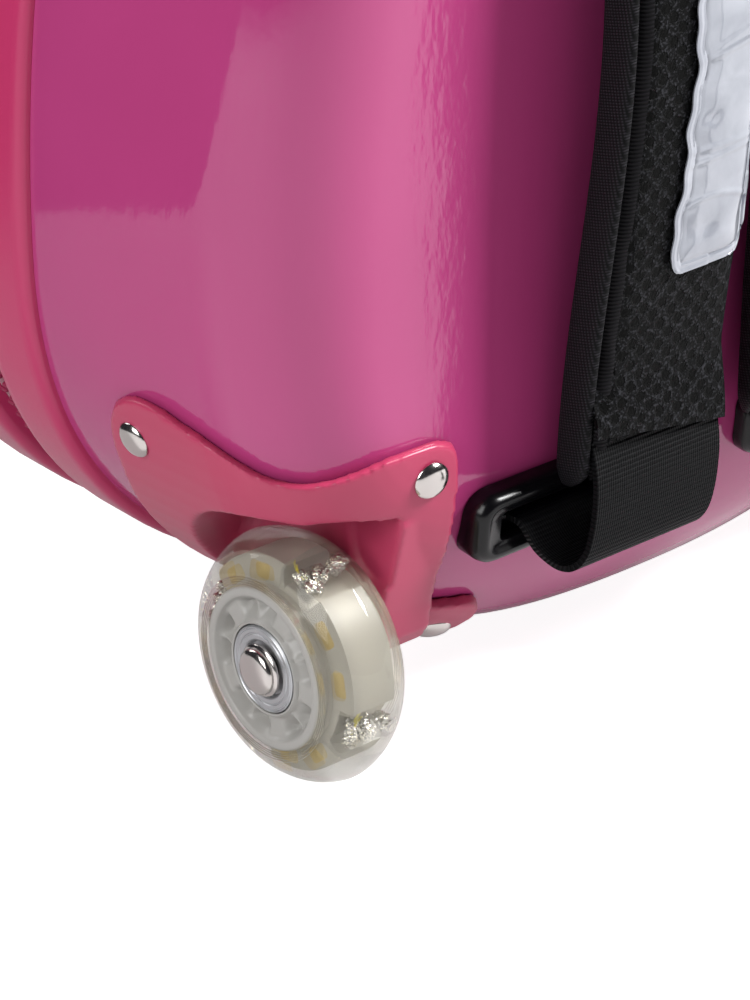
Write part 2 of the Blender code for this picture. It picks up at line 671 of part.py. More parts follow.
def wheel_housing(side, hand, shell, core):
    """The corner cover with its wheel pocket, riveted over a hole in the rear shell."""
    place = Vector((WHEEL_X * side, WHEEL_Y, WHEEL_RADIUS))
    outward = Vector((side, 0, 0))
    housing = body(hand + "_wheel_housing", -1, FIT + HOUSING_THICK, HOUSING_PINK)
    boolean(housing, housing_region(side, hand), "INTERSECT")
    keep_x = (HALF_WIDTH + CUT_PAST - HOUSING_INNER_X) / 2
    keep_y = (BACK_Y + CUT_PAST + HOUSING_FRONT_Y) / 2
    keep_z = WIDEST_Z / 2 + CUT_PAST
    keep = box(hand + "_housing_keep",
               ((HOUSING_INNER_X + keep_x) * side, HOUSING_FRONT_Y - keep_y, WIDEST_Z / 2),
               (keep_x, keep_y, keep_z))
    tab_centre, tab_way = surface_point(mirrored(RIVET_POINTS[2], side))
    tab = box(hand + "_tab_keep", (0, 0, 0), (TAB_REACH / 2, TAB_HALF_LENGTH, TAB_DEPTH))
    tab.matrix_world = facing(tab_centre, tab_way)
    sideways = (tab.matrix_world.to_3x3().inverted() @ Vector((side, 0, 0)))
    sideways.z = 0
    spin = math.atan2(sideways.y, sideways.x)
    turn = Matrix.Rotation(spin, 4, "Z")
    tab.matrix_world = tab.matrix_world @ turn @ Matrix.Translation((TAB_SHIFT, 0, 0))
    soften = tab.modifiers.new("round", "BEVEL")
    soften.width = TAB_CORNER
    soften.segments = 3
    boolean(keep, tab, "UNION")
    boolean(housing, keep, "INTERSECT")
    inner_x = WHEEL_X - POCKET_INNER
    lug = prism(hand + "_lug", LUG_SIDE, min(inner_x * side, HOUSING_INNER_X * side),
                max(inner_x * side, HOUSING_INNER_X * side))
    boolean(housing, lug, "UNION")
    boolean(housing, core)
    beyond = place + outward * (HALF_WIDTH - WHEEL_X + CUT_PAST)
    cup = rod(hand + "_cup", place - outward * (POCKET_INNER + CUP_WALL), beyond,
              POCKET_RADIUS + CUP_WALL, sides=40)
    cup_shape = body(hand + "_cup_shape", -1, FIT + HOUSING_THICK * 0.5)
    boolean(cup, cup_shape, "INTERSECT")
    boolean(housing, cup, "UNION")
    pocket = rod(hand + "_pocket", place - outward * POCKET_INNER, beyond, POCKET_RADIUS, sides=40)
    rounding = pocket.modifiers.new("round", "BEVEL")
    rounding.width = POCKET_ROUND
    rounding.segments = 2
    rounding.limit_method = "ANGLE"
    boolean(housing, pocket)
    boss = rod(hand + "_boss", place - outward * (POCKET_INNER + CUP_WALL / 2),
               place - outward * (BEARING_FACE + FIT), BEARING_BORE + AXLE_BOSS_WALL)
    boolean(housing, boss, "UNION")
    bore = rod(hand + "_axle_hole", place - outward * (POCKET_INNER + AXLE_SEAT + FIT), place,
               BEARING_BORE + AXLE_PLAY)
    boolean(housing, bore)
    opening = rod(hand + "_shell_opening", place - outward * (POCKET_INNER + CUP_WALL + FIT), beyond,
                  POCKET_RADIUS + CUP_WALL + FIT, sides=40)
    boolean(shell, opening)
    for number, spot in enumerate(RIVET_POINTS, 1):
        seat, away = surface_point(mirrored(spot, side), offset=FIT + HOUSING_THICK)
        stack = HOUSING_THICK + FIT + SHELL_WALL + FIT
        tail = -stack - FIT - RIVET_TAIL_GAP
        tip = RIVET_HEAD_HEIGHT
        profile = [(0.0, tip), (RIVET_HEAD_RADIUS * 0.7, tip * 0.93), (RIVET_HEAD_RADIUS * 0.93, tip * 0.55),
                   (RIVET_HEAD_RADIUS, FIT), (RIVET_SHANK, FIT), (RIVET_SHANK, tail),
                   (RIVET_TAIL_RADIUS, tail), (RIVET_TAIL_RADIUS, tail - RIVET_TAIL_HEIGHT),
                   (0.0, tail - RIVET_TAIL_HEIGHT)]
        turned(hand + "_rivet_" + str(number), profile, seat + away * FIT, away, STEEL, steps=8, closed=False)
        hole = rod(hand + "_rivet_hole_" + str(number), seat - away * RIVET_HOLE_IN,
                   seat + away * RIVET_HOLE_OUT, RIVET_SHANK + FIT)
        boolean(housing, hole)
        boolean(shell, hole)
    return housing


def strap_bracket(side, hand, shell, core, inside):
    """The moulded bracket that the strap comes out of, and the plate that holds it from inside."""
    seat, away = surface_point((BRACKET_X * side, -BACK_Y, BRACKET_Z))
    across = Vector((1, 0, 0))
    away = Vector((0, away.y, away.z)).normalized()
    frame = Matrix.Translation(seat) @ Matrix((across, away.cross(across), away)).transposed().to_4x4()
    bracket = box(hand + "_strap_bracket", (0, 0, 0),
                  (BRACKET_HALF_LENGTH, BRACKET_HALF_HEIGHT, (BRACKET_PROUD + BRACKET_SUNK) / 2), BLACK)
    bracket.matrix_world = frame @ Matrix.Translation((0, 0, (BRACKET_PROUD - BRACKET_SUNK) / 2))
    rounding = bracket.modifiers.new("round", "BEVEL")
    rounding.width = BRACKET_ROUND
    rounding.segments = 2
    boolean(bracket, core)
    slot = box(hand + "_strap_slot", (0, 0, 0), (SLOT_HALF_LENGTH, SLOT_HALF_HEIGHT, BRACKET_PROUD / 2))
    slot.matrix_world = frame @ Matrix.Translation((0, 0, BRACKET_PROUD * (SLOT_FLOOR + 0.5)))
    boolean(bracket, slot)
    backing = box(hand + "_strap_backing", (0, 0, 0),
                  (BRACKET_HALF_LENGTH, BRACKET_HALF_HEIGHT, (BACKING_THICK + BACKING_GAP) / 2), BLACK)
    backing.matrix_world = frame @ Matrix.Translation((0, 0, -(BACKING_THICK + BACKING_GAP) / 2))
    boolean(backing, inside, "INTERSECT")
    for way in (-1, 1):
        middle = frame @ Vector(((SLOT_HALF_LENGTH + BRACKET_END / 2) * way, 0, 0))
        hole = rod(hand + "_stud_hole_" + str(way + 1), middle - away * CUT_PAST,
                   middle + away * SHELL_WALL / 2, STUD_RADIUS + FIT)
        stud = rod(hand + "_stud_" + str(way + 1), middle - away * STUD_LENGTH,
                   middle + away * BRACKET_PROUD / 2, STUD_RADIUS)
        boolean(bracket, stud, "UNION")
        boolean(shell, hole)
        boolean(backing, hole)
    return frame


def pad_place(side, height):
    """Middle of a shoulder pad at a height: it leans to the middle and bows off the back."""
    share = (height - PAD_BOTTOM_Z) / (PAD_TOP_Z - PAD_BOTTOM_Z)
    lean = min(max(share / PAD_LEAN_SHARE, 0.0), 1.0)
    lean = lean * lean * (3 - 2 * lean)
    across = PAD_LOW_X + (PAD_HIGH_X - PAD_LOW_X) * lean
    return Vector((across * side, PAD_Y - PAD_BOW * math.sin(math.pi * share) ** 2, height))


def pad_section(middle, half_width, half_thick):
    """One cross-section of a pad: crowned in the middle, drawn in at the seam, with a bound edge."""
    quarter = [(across * half_width, out * half_thick) for across, out in PAD_SIDE]
    corners = quarter + [(across, -out) for across, out in reversed(quarter)]
    corners += [(-across, -out) for across, out in quarter[1:]]
    corners += [(-across, out) for across, out in reversed(quarter[1:])]
    return [middle + Vector((across, out, 0)) for across, out in corners]


def shoulder_pad(side, hand):
    """A padded shoulder strap, and the reflective strip on its outer face."""
    stations = 10
    rings = []
    for step in range(stations + 1):
        share = step / stations
        height = PAD_BOTTOM_Z + (PAD_TOP_Z - PAD_BOTTOM_Z) * share
        ends = min(share, 1 - share) * stations
        taper = 1.0 if ends >= 2 else 0.72 + 0.14 * ends
        narrow = 1.0 if ends >= 1 else 0.955
        rings.append(pad_section(pad_place(side, height), PAD_HALF_WIDTH * narrow, PAD_THICK / 2 * taper))
    loft(hand + "_shoulder_pad", rings, MESH_CLOTH)
    rows = []
    count = 9
    for step in range(count + 1):
        share = step / count
        height = STRIP_BOTTOM_Z + (STRIP_TOP_Z - STRIP_BOTTOM_Z) * share
        narrow = 0.78 if step in (0, count) else 1.0
        middle = pad_place(side, height)
        middle += Vector((STRIP_SHIFT * side * -1, -PAD_THICK / 2 - FIT - STRIP_THICK / 2, 0))
        half = STRIP_HALF_WIDTH * narrow
        thick = STRIP_THICK / 2
        rows.append([middle + Vector(spot) for spot in
                     ((-half, -thick, 0), (half, -thick, 0), (half, thick, 0), (-half, thick, 0))])
    loft(hand + "_reflective_strip", rows, REFLECTIVE)


def lower_webbing(side, hand, frame):
    """The webbing from the bracket's slot, out and down in a loop, then up to the pad."""
    start = frame @ Vector((0, 0, BRACKET_PROUD * SLOT_FLOOR + FIT * 2))
    mouth = frame @ Vector((0, 0, BRACKET_PROUD + FIT))
    middles = [start, mouth]
    for inward, depth, height in WEBBING_LOOP:
        middles.append(Vector(((BRACKET_X - inward) * side, depth, height)))
    middles.append(pad_place(side, PAD_BOTTOM_Z - FIT))
    fine = []
    parts = 3
    for step in range(len(middles) - 1):
        before = middles[max(step - 1, 0)]
        after = middles[min(step + 2, len(middles) - 1)]
        for part in range(parts):
            share = part / parts
            fine.append(spline(before, middles[step], middles[step + 1], after, share))
    fine.append(middles[-1])
    rings = []
    for step, middle in enumerate(fine):
        along = fine[min(step + 1, len(fine) - 1)] - fine[max(step - 1, 0)]
        if step == len(fine) - 1:
            along = Vector((0, 0, 1))
        along.x = 0
        out = Vector((1, 0, 0)).cross(along.normalized()) * (WEBBING_THICK / 2)
        wide = Vector((WEBBING_HALF_WIDTH, 0, 0))
        rings.append([middle - wide - out, middle + wide - out, middle + wide + out, middle - wide + out])
    loft(hand + "_lower_webbing", rings, WEBBING)


def spline(before, start, end, after, share):
    """A point on the smooth curve from start to end, a Catmull-Rom segment."""
    squared = share * share
    cubed = squared * share
    return 0.5 * (2 * start + (end - before) * share + (2 * before - 5 * start + 4 * end - after) * squared
                  + (3 * start - before - 3 * end + after) * cubed)


def yoke(core):
    """The sewn panel that both shoulder straps start from."""
    panel = box("strap_yoke", (0, -BACK_Y, YOKE_Z), (YOKE_HALF_WIDTH, YOKE_PROUD, YOKE_HALF_HEIGHT),
                WEBBING, bevel=YOKE_ROUND)
    boolean(panel, core)


def pull_handle(shell, core, inside):
    """Three-stage pull handle: fixed tubes, two sliding stages, grip, button, bezel and base."""
    middle_radius = OUTER_TUBE_RADIUS - TUBE_WALL - TUBE_PLAY
    inner_radius = middle_radius - TUBE_WALL - TUBE_PLAY
    grip_bottom = BEZEL_TOP_Z + GRIP_GAP
    bezel = box("handle_bezel", (0, TUBE_Y, BEZEL_TOP_Z - BEZEL_HEIGHT / 2),
                (TUBE_X + BEZEL_END, BEZEL_HALF_WIDTH, BEZEL_HEIGHT / 2), BLACK, bevel=BEZEL_ROUND)
    boolean(bezel, core)
    base = box("handle_base", (0, TUBE_Y + (BASE_FRONT - BASE_BACK) / 2, OUTER_TUBE_BOTTOM),
               (TUBE_X + BASE_OVERHANG, (BASE_FRONT + BASE_BACK) / 2, BASE_HALF_HEIGHT), BLACK,
               bevel=BASE_ROUND)
    boolean(base, inside, "INTERSECT")
    grip = box("handle_grip", (0, TUBE_Y, grip_bottom + GRIP_HEIGHT / 2),
               (TUBE_X + GRIP_END, GRIP_HALF_WIDTH, GRIP_HEIGHT / 2), BLACK, bevel=GRIP_ROUND)
    for side, hand in ((-1, "left"), (1, "right")):
        place = Vector((TUBE_X * side, TUBE_Y, 0))
        stages = (("outer", OUTER_TUBE_RADIUS, OUTER_TUBE_BOTTOM, BEZEL_TOP_Z - FIT),
                  ("middle", middle_radius, OUTER_TUBE_BOTTOM + STAGE_STEP, BEZEL_TOP_Z + FIT),
                  ("inner", inner_radius, OUTER_TUBE_BOTTOM + 2 * STAGE_STEP, grip_bottom + GRIP_SOCKET))
        for stage, radius, low, high in stages:
            bore = radius - TUBE_WALL
            profile = [(bore, high), (radius, high), (radius, low), (bore, low)]
            turned(hand + "_" + stage + "_tube", profile, place, (0, 0, 1), ALUMINIUM, steps=12)
        hole = rod(hand + "_tube_hole", place + Vector((0, 0, YOKE_Z)),
                   place + Vector((0, 0, grip_bottom)), OUTER_TUBE_RADIUS + FIT)
        boolean(shell, hole)
        boolean(bezel, hole)
        seat = rod(hand + "_tube_seat", place + Vector((0, 0, OUTER_TUBE_BOTTOM - FIT)),
                   place + Vector((0, 0, OUTER_TUBE_BOTTOM + BASE_SEAT_DEPTH)), OUTER_TUBE_RADIUS + FIT)
        boolean(base, seat)
        socket = rod(hand + "_grip_socket", place + Vector((0, 0, grip_bottom - CUT_PAST)),
                     place + Vector((0, 0, grip_bottom + GRIP_SOCKET + FIT)), inner_radius + FIT)
        boolean(grip, socket)
    top = grip_bottom + GRIP_HEIGHT
    low = top - BUTTON_SEAT
    pocket = box("button_pocket", (0, TUBE_Y, low + BUTTON_SEAT),
                 (BUTTON_HALF_LENGTH + FIT, BUTTON_HALF_WIDTH + FIT, BUTTON_SEAT))
    boolean(grip, pocket)
    low += BUTTON_TRAVEL + FIT
    box("release_button", (0, TUBE_Y, (low + top + BUTTON_PROUD) / 2),
        (BUTTON_HALF_LENGTH, BUTTON_HALF_WIDTH, (top + BUTTON_PROUD - low) / 2), RUBBER,
        bevel=BUTTON_ROUND)


def carry_handle(core):
    """A moulded bail on the top of the rear shell that tips over on two pins."""
    arc = []
    steps = 12
    for step in range(steps + 1):
        angle = math.pi * step / steps
        across = -math.copysign(abs(math.cos(angle)) ** 0.7, math.cos(angle)) * CARRY_PIVOT_X
        arc.append((across, CARRY_Y, CARRY_PIVOT_Z + CARRY_RISE * math.sin(angle) ** 0.8))
    data = bpy.data.curves.new("carry_path", "CURVE")
    data.dimensions = "3D"
    data.bevel_depth = CARRY_RADIUS
    data.bevel_resolution = 2
    data.use_fill_caps = True
    line = data.splines.new("POLY")
    line.points.add(len(arc) - 1)
    for knot, spot in zip(line.points, arc):
        knot.co = (*spot, 1.0)
    curve = bpy.data.objects.new("carry_path", data)
    CUTTERS.objects.link(curve)
    bpy.context.view_layer.update()
    seen = curve.evaluated_get(bpy.context.evaluated_depsgraph_get())
    mesh = bpy.data.meshes.new_from_object(seen)
    bpy.data.objects.remove(curve)
    work = bmesh.new()
    work.from_mesh(mesh)
    bmesh.ops.remove_doubles(work, verts=work.verts, dist=0.00001)
    bmesh.ops.recalc_face_normals(work, faces=work.faces)
    bmesh.ops.translate(work, verts=work.verts, vec=(0, -CARRY_Y, -CARRY_PIVOT_Z))
    bail = from_bmesh("carry_handle", work, BLACK)
    bail.location = (0, CARRY_Y, CARRY_PIVOT_Z)
    for side, hand in ((-1, "left"), (1, "right")):
        pivot = Vector((CARRY_PIVOT_X * side, CARRY_Y, CARRY_PIVOT_Z))
        near = pivot + Vector((CARRY_RADIUS * side * 0.3, 0, 0))
        tip = pivot + Vector(((CARRY_RADIUS + CARRY_PIN_LENGTH) * side, 0, 0))
        boolean(bail, rod(hand + "_carry_pin", near, tip, CARRY_PIN_RADIUS), "UNION")
        middle = pivot.x + (CARRY_RADIUS + FIT * 2 + MOUNT_HALF_LENGTH) * side
        mount = box(hand + "_carry_mount", (middle, CARRY_Y, CARRY_PIVOT_Z + MOUNT_RISE - MOUNT_HEIGHT / 2),
                    (MOUNT_HALF_LENGTH, MOUNT_HALF_WIDTH, MOUNT_HEIGHT / 2), BLACK, bevel=MOUNT_ROUND)
        boolean(mount, core)
        boolean(mount, rod(hand + "_mount_bore", pivot, tip + Vector((FIT * side, 0, 0)),
                           CARRY_PIN_RADIUS + FIT))


def front_feet(front_core):
    """Two turned rubber feet under the front shell that stand level with the wheels."""
    for side, hand in ((-1, "left"), (1, "right")):
        place = (FOOT_X * side, FOOT_Y, 0.0)
        foot = turned(hand + "_front_foot",
                      [(0.0, FOOT_BLANK), (FOOT_RADIUS, FOOT_BLANK), (FOOT_RADIUS, FOOT_EDGE),
                       (FOOT_RADIUS * 0.82, 0.0), (0.0, 0.0)],
                      place, (0, 0, 1), RUBBER, steps=20, closed=False)
        boolean(foot, front_core)


def inside_pieces(rear_inside):
    """The lid's pocket panel, open at its top, and the packing strap with its buckle."""
    inset = RIM_DEPTH + FIT
    rings = []
    for depth in (PANEL_Y - PANEL_THICK / 2, PANEL_Y + PANEL_THICK / 2):
        rings.append([(point.x - away.x * inset, depth, point.y - away.y * inset)
                      for point, away in outline()])
    panel = loft("lid_pocket", rings, LINING)
    above = TOP_Z - PANEL_TOP_Z
    boolean(panel, box("panel_top", (0, PANEL_Y, PANEL_TOP_Z + above), (HALF_WIDTH, RIM_Y, above)))
    for side, hand in ((-1, "left"), (1, "right")):
        inner = BUCKLE_HALF_LENGTH - BUCKLE_MOUTH + FIT
        reach = HALF_WIDTH + CUT_PAST
        strap = box(hand + "_packing_strap", (side * (inner + reach) / 2, PACKING_Y, PACKING_Z),
                    ((reach - inner) / 2, PACKING_THICK / 2, PACKING_HALF_WIDTH), WEBBING)
        boolean(strap, rear_inside, "INTERSECT")
    buckle = box("packing_buckle", (0, PACKING_Y, PACKING_Z),
                 (BUCKLE_HALF_LENGTH, BUCKLE_THICK / 2, BUCKLE_HALF_WIDTH), BLACK,
                 bevel=BUCKLE_ROUND)
    for side in (-1, 1):
        mouth = box("buckle_mouth_" + str(side + 1),
                    (side * BUCKLE_HALF_LENGTH, PACKING_Y, PACKING_Z),
                    (BUCKLE_MOUTH, PACKING_THICK / 2 + FIT, PACKING_HALF_WIDTH + FIT))
        boolean(buckle, mouth)


def centre_over_origin():
    """Move the whole piece so that its depth, from the front to the reflective strips, is centred."""
    back = PAD_Y - PAD_BOW - PAD_THICK / 2 - FIT - STRIP_THICK
    shift = Matrix.Translation((0, -(FRONT_Y + back) / 2, 0))
    for item in list(PARTS.objects) + list(CUTTERS.objects):
        item.matrix_world = shift @ item.matrix_world


def build():
    rear = half_shell("rear_shell", -1, PINK)
    half_shell("front_shell", 1, PINK)
    core = body("rear_core", -1, FIT)
    front_core = body("front_core", 1, FIT)
    rear_inside = body("rear_inside", -1, -SHELL_WALL - 2 * FIT)
    rims_and_zip()
    zip_sliders()
    for side, hand in ((-1, "left"), (1, "right")):
        wheel(side, hand)
        wheel_housing(side, hand, rear, core)
        frame = strap_bracket(side, hand, rear, core, rear_inside)
        lower_webbing(side, hand, frame)
        shoulder_pad(side, hand)
    yoke(core)
    pull_handle(rear, core, rear_inside)
    carry_handle(core)
    front_feet(front_core)
    inside_pieces(rear_inside)
    bpy.context.view_layer.update()
    centre_over_origin()


build()
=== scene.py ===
"""A kids' hard-shell trolley backpack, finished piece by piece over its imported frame, for a studio picture.

Metres, +Z up. The straps' side faces -Y, and X is the width seen from there. The case stands on z = 0.
"""

import json
import math

import bpy
import numpy as np
from mathutils import Matrix, Vector
from mathutils.bvhtree import BVHTree

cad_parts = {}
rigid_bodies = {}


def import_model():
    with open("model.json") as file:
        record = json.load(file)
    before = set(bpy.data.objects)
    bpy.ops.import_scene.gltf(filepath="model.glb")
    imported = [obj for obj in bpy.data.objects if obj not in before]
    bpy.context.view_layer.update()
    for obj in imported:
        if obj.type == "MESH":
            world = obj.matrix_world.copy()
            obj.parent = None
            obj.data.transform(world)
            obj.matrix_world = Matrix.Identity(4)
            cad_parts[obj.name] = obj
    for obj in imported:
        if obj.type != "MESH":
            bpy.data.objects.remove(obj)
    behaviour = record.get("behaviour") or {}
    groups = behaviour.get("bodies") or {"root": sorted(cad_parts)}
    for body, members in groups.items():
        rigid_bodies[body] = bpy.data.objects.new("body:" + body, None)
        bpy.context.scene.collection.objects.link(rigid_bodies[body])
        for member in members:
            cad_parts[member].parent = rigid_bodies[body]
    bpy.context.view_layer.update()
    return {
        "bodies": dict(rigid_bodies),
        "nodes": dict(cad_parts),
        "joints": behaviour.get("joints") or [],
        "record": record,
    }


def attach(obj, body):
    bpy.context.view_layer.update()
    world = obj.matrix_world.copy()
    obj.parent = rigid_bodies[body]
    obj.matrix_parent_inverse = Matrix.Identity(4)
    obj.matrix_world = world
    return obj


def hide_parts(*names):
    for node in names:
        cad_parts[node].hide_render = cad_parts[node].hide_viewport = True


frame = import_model()


# Rear half shell
# The deep half that carries the wheels and the straps: a sheet of ABS with a glossy coloured film on it,
# drawn down hot over a mould. The film stretches with the sheet, so its gloss has a faint ripple.
# The inside is lined with thin woven cloth, glued on.
ZIP_Y = 0.02755
HALF_WIDTH = 0.137
BOTTOM_Z = 0.008
WIDEST_Z = 0.125
TOP_Z = 0.376
LOWER_POWER = 2.4
UPPER_POWER = 2.0
RIM_Y = 0.028
BACK_Y = 0.116
FRONT_Y = 0.084
SHELL_WALL = 0.002
DRAFT = math.radians(2.5)
SIDE_ROUND = (0.032, 0.031)
END_ROUND = (0.060, 0.035)
AROUND = 184
FINE_STEPS = 5760
WALL_STEPS = 5
CORNER_STEPS = 14
PANEL_RINGS = (0.94, 0.6, 0.25)
# The gap between two pieces where one lies on the other or goes into it
GAP = 0.0003


def outline(count=AROUND):
    """Points evenly spaced round the case from its top, and their outward directions, as (x, z) rows."""
    angle = math.pi / 2 + np.linspace(0, math.tau, FINE_STEPS + 1)
    across, up = np.cos(angle), np.sin(angle)
    power = np.where(up >= 0, UPPER_POWER, LOWER_POWER)
    reach = np.where(up >= 0, TOP_Z - WIDEST_Z, WIDEST_Z - BOTTOM_Z)
    x = HALF_WIDTH * np.sign(across) * np.abs(across) ** (2 / power)
    z = WIDEST_Z + reach * np.sign(up) * np.abs(up) ** (2 / power)
    run = np.concatenate([[0.0], np.cumsum(np.hypot(np.diff(x), np.diff(z)))])
    wanted = np.linspace(0, run[-1], count, endpoint=False)
    points = np.column_stack([np.interp(wanted, run, x), np.interp(wanted, run, z)])
    along = np.roll(points, -1, axis=0) - np.roll(points, 1, axis=0)
    along /= np.linalg.norm(along, axis=1)[:, None]
    return points, np.column_stack([along[:, 1], -along[:, 0]])


def shell_rings(side, offset=0.0):
    """Rings of a half shell's outer face, from its rim to its flat panel, moved out by offset."""
    face = BACK_Y if side < 0 else FRONT_Y
    points, away = outline()
    share = away[:, 1:] ** 2
    wide = SIDE_ROUND[0] + (END_ROUND[0] - SIDE_ROUND[0]) * share
    deep = SIDE_ROUND[1] + (END_ROUND[1] - SIDE_ROUND[1]) * share
    stations = []
    for step in range(WALL_STEPS + 1):
        depth = RIM_Y + (face - deep - RIM_Y) * step / WALL_STEPS
        stations.append(((depth - RIM_Y) * math.tan(DRAFT) - offset, depth))
    start = (face - deep - RIM_Y) * math.tan(DRAFT)
    for step in range(1, CORNER_STEPS + 1):
        turn = math.pi / 2 * step / CORNER_STEPS
        inset = start + (wide - start) * (1 - math.cos(turn)) - offset * math.cos(turn)
        stations.append((inset, face - deep * (1 - math.sin(turn)) + offset * math.sin(turn)))
    rings = []
    for inset, depth in stations:
        flat = points - away * inset
        rings.append(np.column_stack([flat[:, 0], ZIP_Y + side * depth[:, 0], flat[:, 1]]))
    middle = rings[-1].mean(axis=0)
    for scale in PANEL_RINGS:
        rings.append(middle + (rings[len(stations) - 1] - middle) * scale)
    return np.array(rings)


def everywhere(vertex):
    """Picks every vertex."""
    return True


def only(item):
    """Select this piece alone, so that an operator acts on nothing else."""
    bpy.ops.object.select_all(action="DESELECT")
    item.select_set(True)
    bpy.context.view_layer.objects.active = item


def edit(item, where, *steps):
    """Select the vertices that where() names, then run (operator, settings) pairs on them in edit mode."""
    only(item)
    bpy.ops.object.mode_set(mode="EDIT")
    bpy.ops.mesh.select_mode(type="VERT")
    bpy.ops.mesh.select_all(action="DESELECT")
    bpy.ops.object.mode_set(mode="OBJECT")
    for vertex in item.data.vertices:
        vertex.select = where(vertex)
    bpy.ops.object.mode_set(mode="EDIT")
    for operator, settings in steps:
        getattr(bpy.ops.mesh, operator)(**settings)
    bpy.ops.object.mode_set(mode="OBJECT")


def modify(item, kind, **settings):
    """Put one modifier on a piece and apply it."""
    step = item.modifiers.new(kind, kind)
    for key, value in settings.items():
        setattr(step, key, value)
    only(item)
    bpy.ops.object.modifier_apply(modifier=step.name)


def skin(name, rings, join=False, caps=True):
    """A surface drawn out of a circle ring by ring, each ring then set on its own points."""
    rings = np.asarray(rings, float)
    count = rings.shape[1]
    total = rings.shape[0] * count
    bpy.ops.object.select_all(action="DESELECT")
    bpy.ops.mesh.primitive_circle_add(vertices=count, radius=0.01)
    item = bpy.context.object
    item.name = name
    lift = {"TRANSFORM_OT_translate": {"value": (0, 0, 0.001)}}
    edit(item, everywhere, *[("extrude_region_move", lift)] * (len(rings) - 1))
    item.data.vertices.foreach_set("co", rings.ravel())
    if join:
        edit(item, lambda v: v.index < count or v.index >= total - count, ("bridge_edge_loops", {}))
    elif caps:
        edit(item, lambda v: v.index < count, ("edge_face_add", {}))
        edit(item, lambda v: v.index >= total - count, ("edge_face_add", {}))
    tidy(item)
    return item


def tidy(item):
    """Close seams and poles, and turn every face outwards."""
    edit(item, everywhere, ("remove_doubles", {"threshold": 1e-6}),
         ("normals_make_consistent", {"inside": False}))


def smooth(item, angle=32):
    """Shade a piece smooth, but for edges sharper than this many degrees."""
    only(item)
    bpy.ops.object.shade_smooth_by_angle(angle=math.radians(angle))


def cut(item, tool, operation="DIFFERENCE"):
    """Cut a piece with a tool, or join or keep what they share, and put the tool away."""
    modify(item, "BOOLEAN", operation=operation, object=tool, solver="EXACT")
    bpy.data.objects.remove(tool)


def placed(place, axis):
    """A frame at a place, with its Z along axis."""
    return Matrix.Translation(place) @ Vector(axis).to_track_quat("Z", "Y").to_matrix().to_4x4()


def rod(name, start, end, radius, sides=64):
    """A plain bar between two points, as a tool or as the start of a piece."""
    start, end = Vector(start), Vector(end)
    bpy.ops.object.select_all(action="DESELECT")
    bpy.ops.mesh.primitive_cylinder_add(vertices=sides, radius=radius, depth=(end - start).length)
    item = bpy.context.object
    item.name = name
    item.data.transform(placed((start + end) / 2, end - start))
    return item


def linear(code):
    """The linear colour of an sRGB hex code."""
    parts = [int(code[place:place + 2], 16) / 255 for place in (1, 3, 5)]
    return [part / 12.92 if part <= 0.04045 else ((part + 0.055) / 1.055) ** 2.4 for part in parts] + [1.0]


def finish(name, colour, **values):
    """A new finish: its even values sit on the shader itself, with _ for the spaces in their names."""
    look = bpy.data.materials.new(name)
    look.use_nodes = True
    shader = look.node_tree.nodes["Principled BSDF"]
    shader.inputs["Base Color"].default_value = linear(colour)
    for key, value in values.items():
        shader.inputs[key.replace("_", " ")].default_value = value
    return look, look.node_tree, shader


def add(tree, kind, feeds, to=None, **settings):
    """Add one node with its settings. Feeds go to its inputs, as values or as links from other nodes, and
    its first output goes on to an input of another node.
    """
    node = tree.nodes.new("ShaderNode" + kind)
    for key, value in settings.items():
        setattr(node, key, value)
    for key, value in feeds.items():
        if isinstance(value, bpy.types.NodeSocket):
            tree.links.new(value, node.inputs[key])
        else:
            node.inputs[key].default_value = value
    if to is not None:
        tree.links.new(node.outputs[0], to)
    return node


def fit(item, looks, slot, body, *nodes):
    """Give a finished piece its looks, and set it on the body that it moves with, for its plain solids."""
    for look in looks:
        item.data.materials.append(look)
    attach(item, body)
    if nodes:
        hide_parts(*nodes)
    return item


# Film-faced ABS: a deep magenta film under a clear gloss. The ripple is 2.5 mm wide and only microns
# high, which breaks the edges of reflections into small teeth, and wider waves bend them.
FILM, tree, shader = finish("film_faced_abs", "#b13e77", Roughness=0.07, IOR=1.57)
at = add(tree, "TexCoord", {}).outputs["Object"]
grain = add(tree, "Mapping", {"Vector": at, "Scale": (1.0, 1.0, 0.45)})
peel = add(tree, "TexNoise", {"Vector": grain.outputs[0], "Scale": 400.0, "Detail": 2.0})
wave = add(tree, "TexNoise", {"Vector": at, "Scale": 26.0, "Detail": 1.0})
low = add(tree, "Bump", {"Height": wave.outputs[0], "Distance": 0.00012})
add(tree, "Bump", {"Height": peel.outputs[0], "Distance": 0.00003, "Normal": low.outputs[0]},
    shader.inputs["Normal"])
add(tree, "MixRGB", {"Fac": wave.outputs[0], "Color1": linear("#b4407b"), "Color2": linear("#ad3c75")},
    shader.inputs["Base Color"])

# Lining taffeta: thin plain-woven polyester, 0.35 mm between threads, drawn at 0.8 mm so that it shows.
LINING, tree, shader = finish("lining_taffeta", "#7d2a52", Roughness=0.75, Sheen_Weight=0.3)
at = add(tree, "TexCoord", {}).outputs["Object"]
warp = add(tree, "TexWave", {"Vector": at, "Scale": 390.0, "Distortion": 0.4}, bands_direction="X")
weft = add(tree, "TexWave", {"Vector": at, "Scale": 390.0, "Distortion": 0.4}, bands_direction="Z")
weave = add(tree, "Math", {0: warp.outputs[1], 1: weft.outputs[1]}, operation="ADD")
add(tree, "Bump", {"Height": weave.outputs[0], "Distance": 0.0001, "Strength": 0.5},
    shader.inputs["Normal"])
add(tree, "MixRGB", {"Fac": weave.outputs[0], "Color1": linear("#6b2145"), "Color2": linear("#8a3160")},
    shader.inputs["Base Color"])


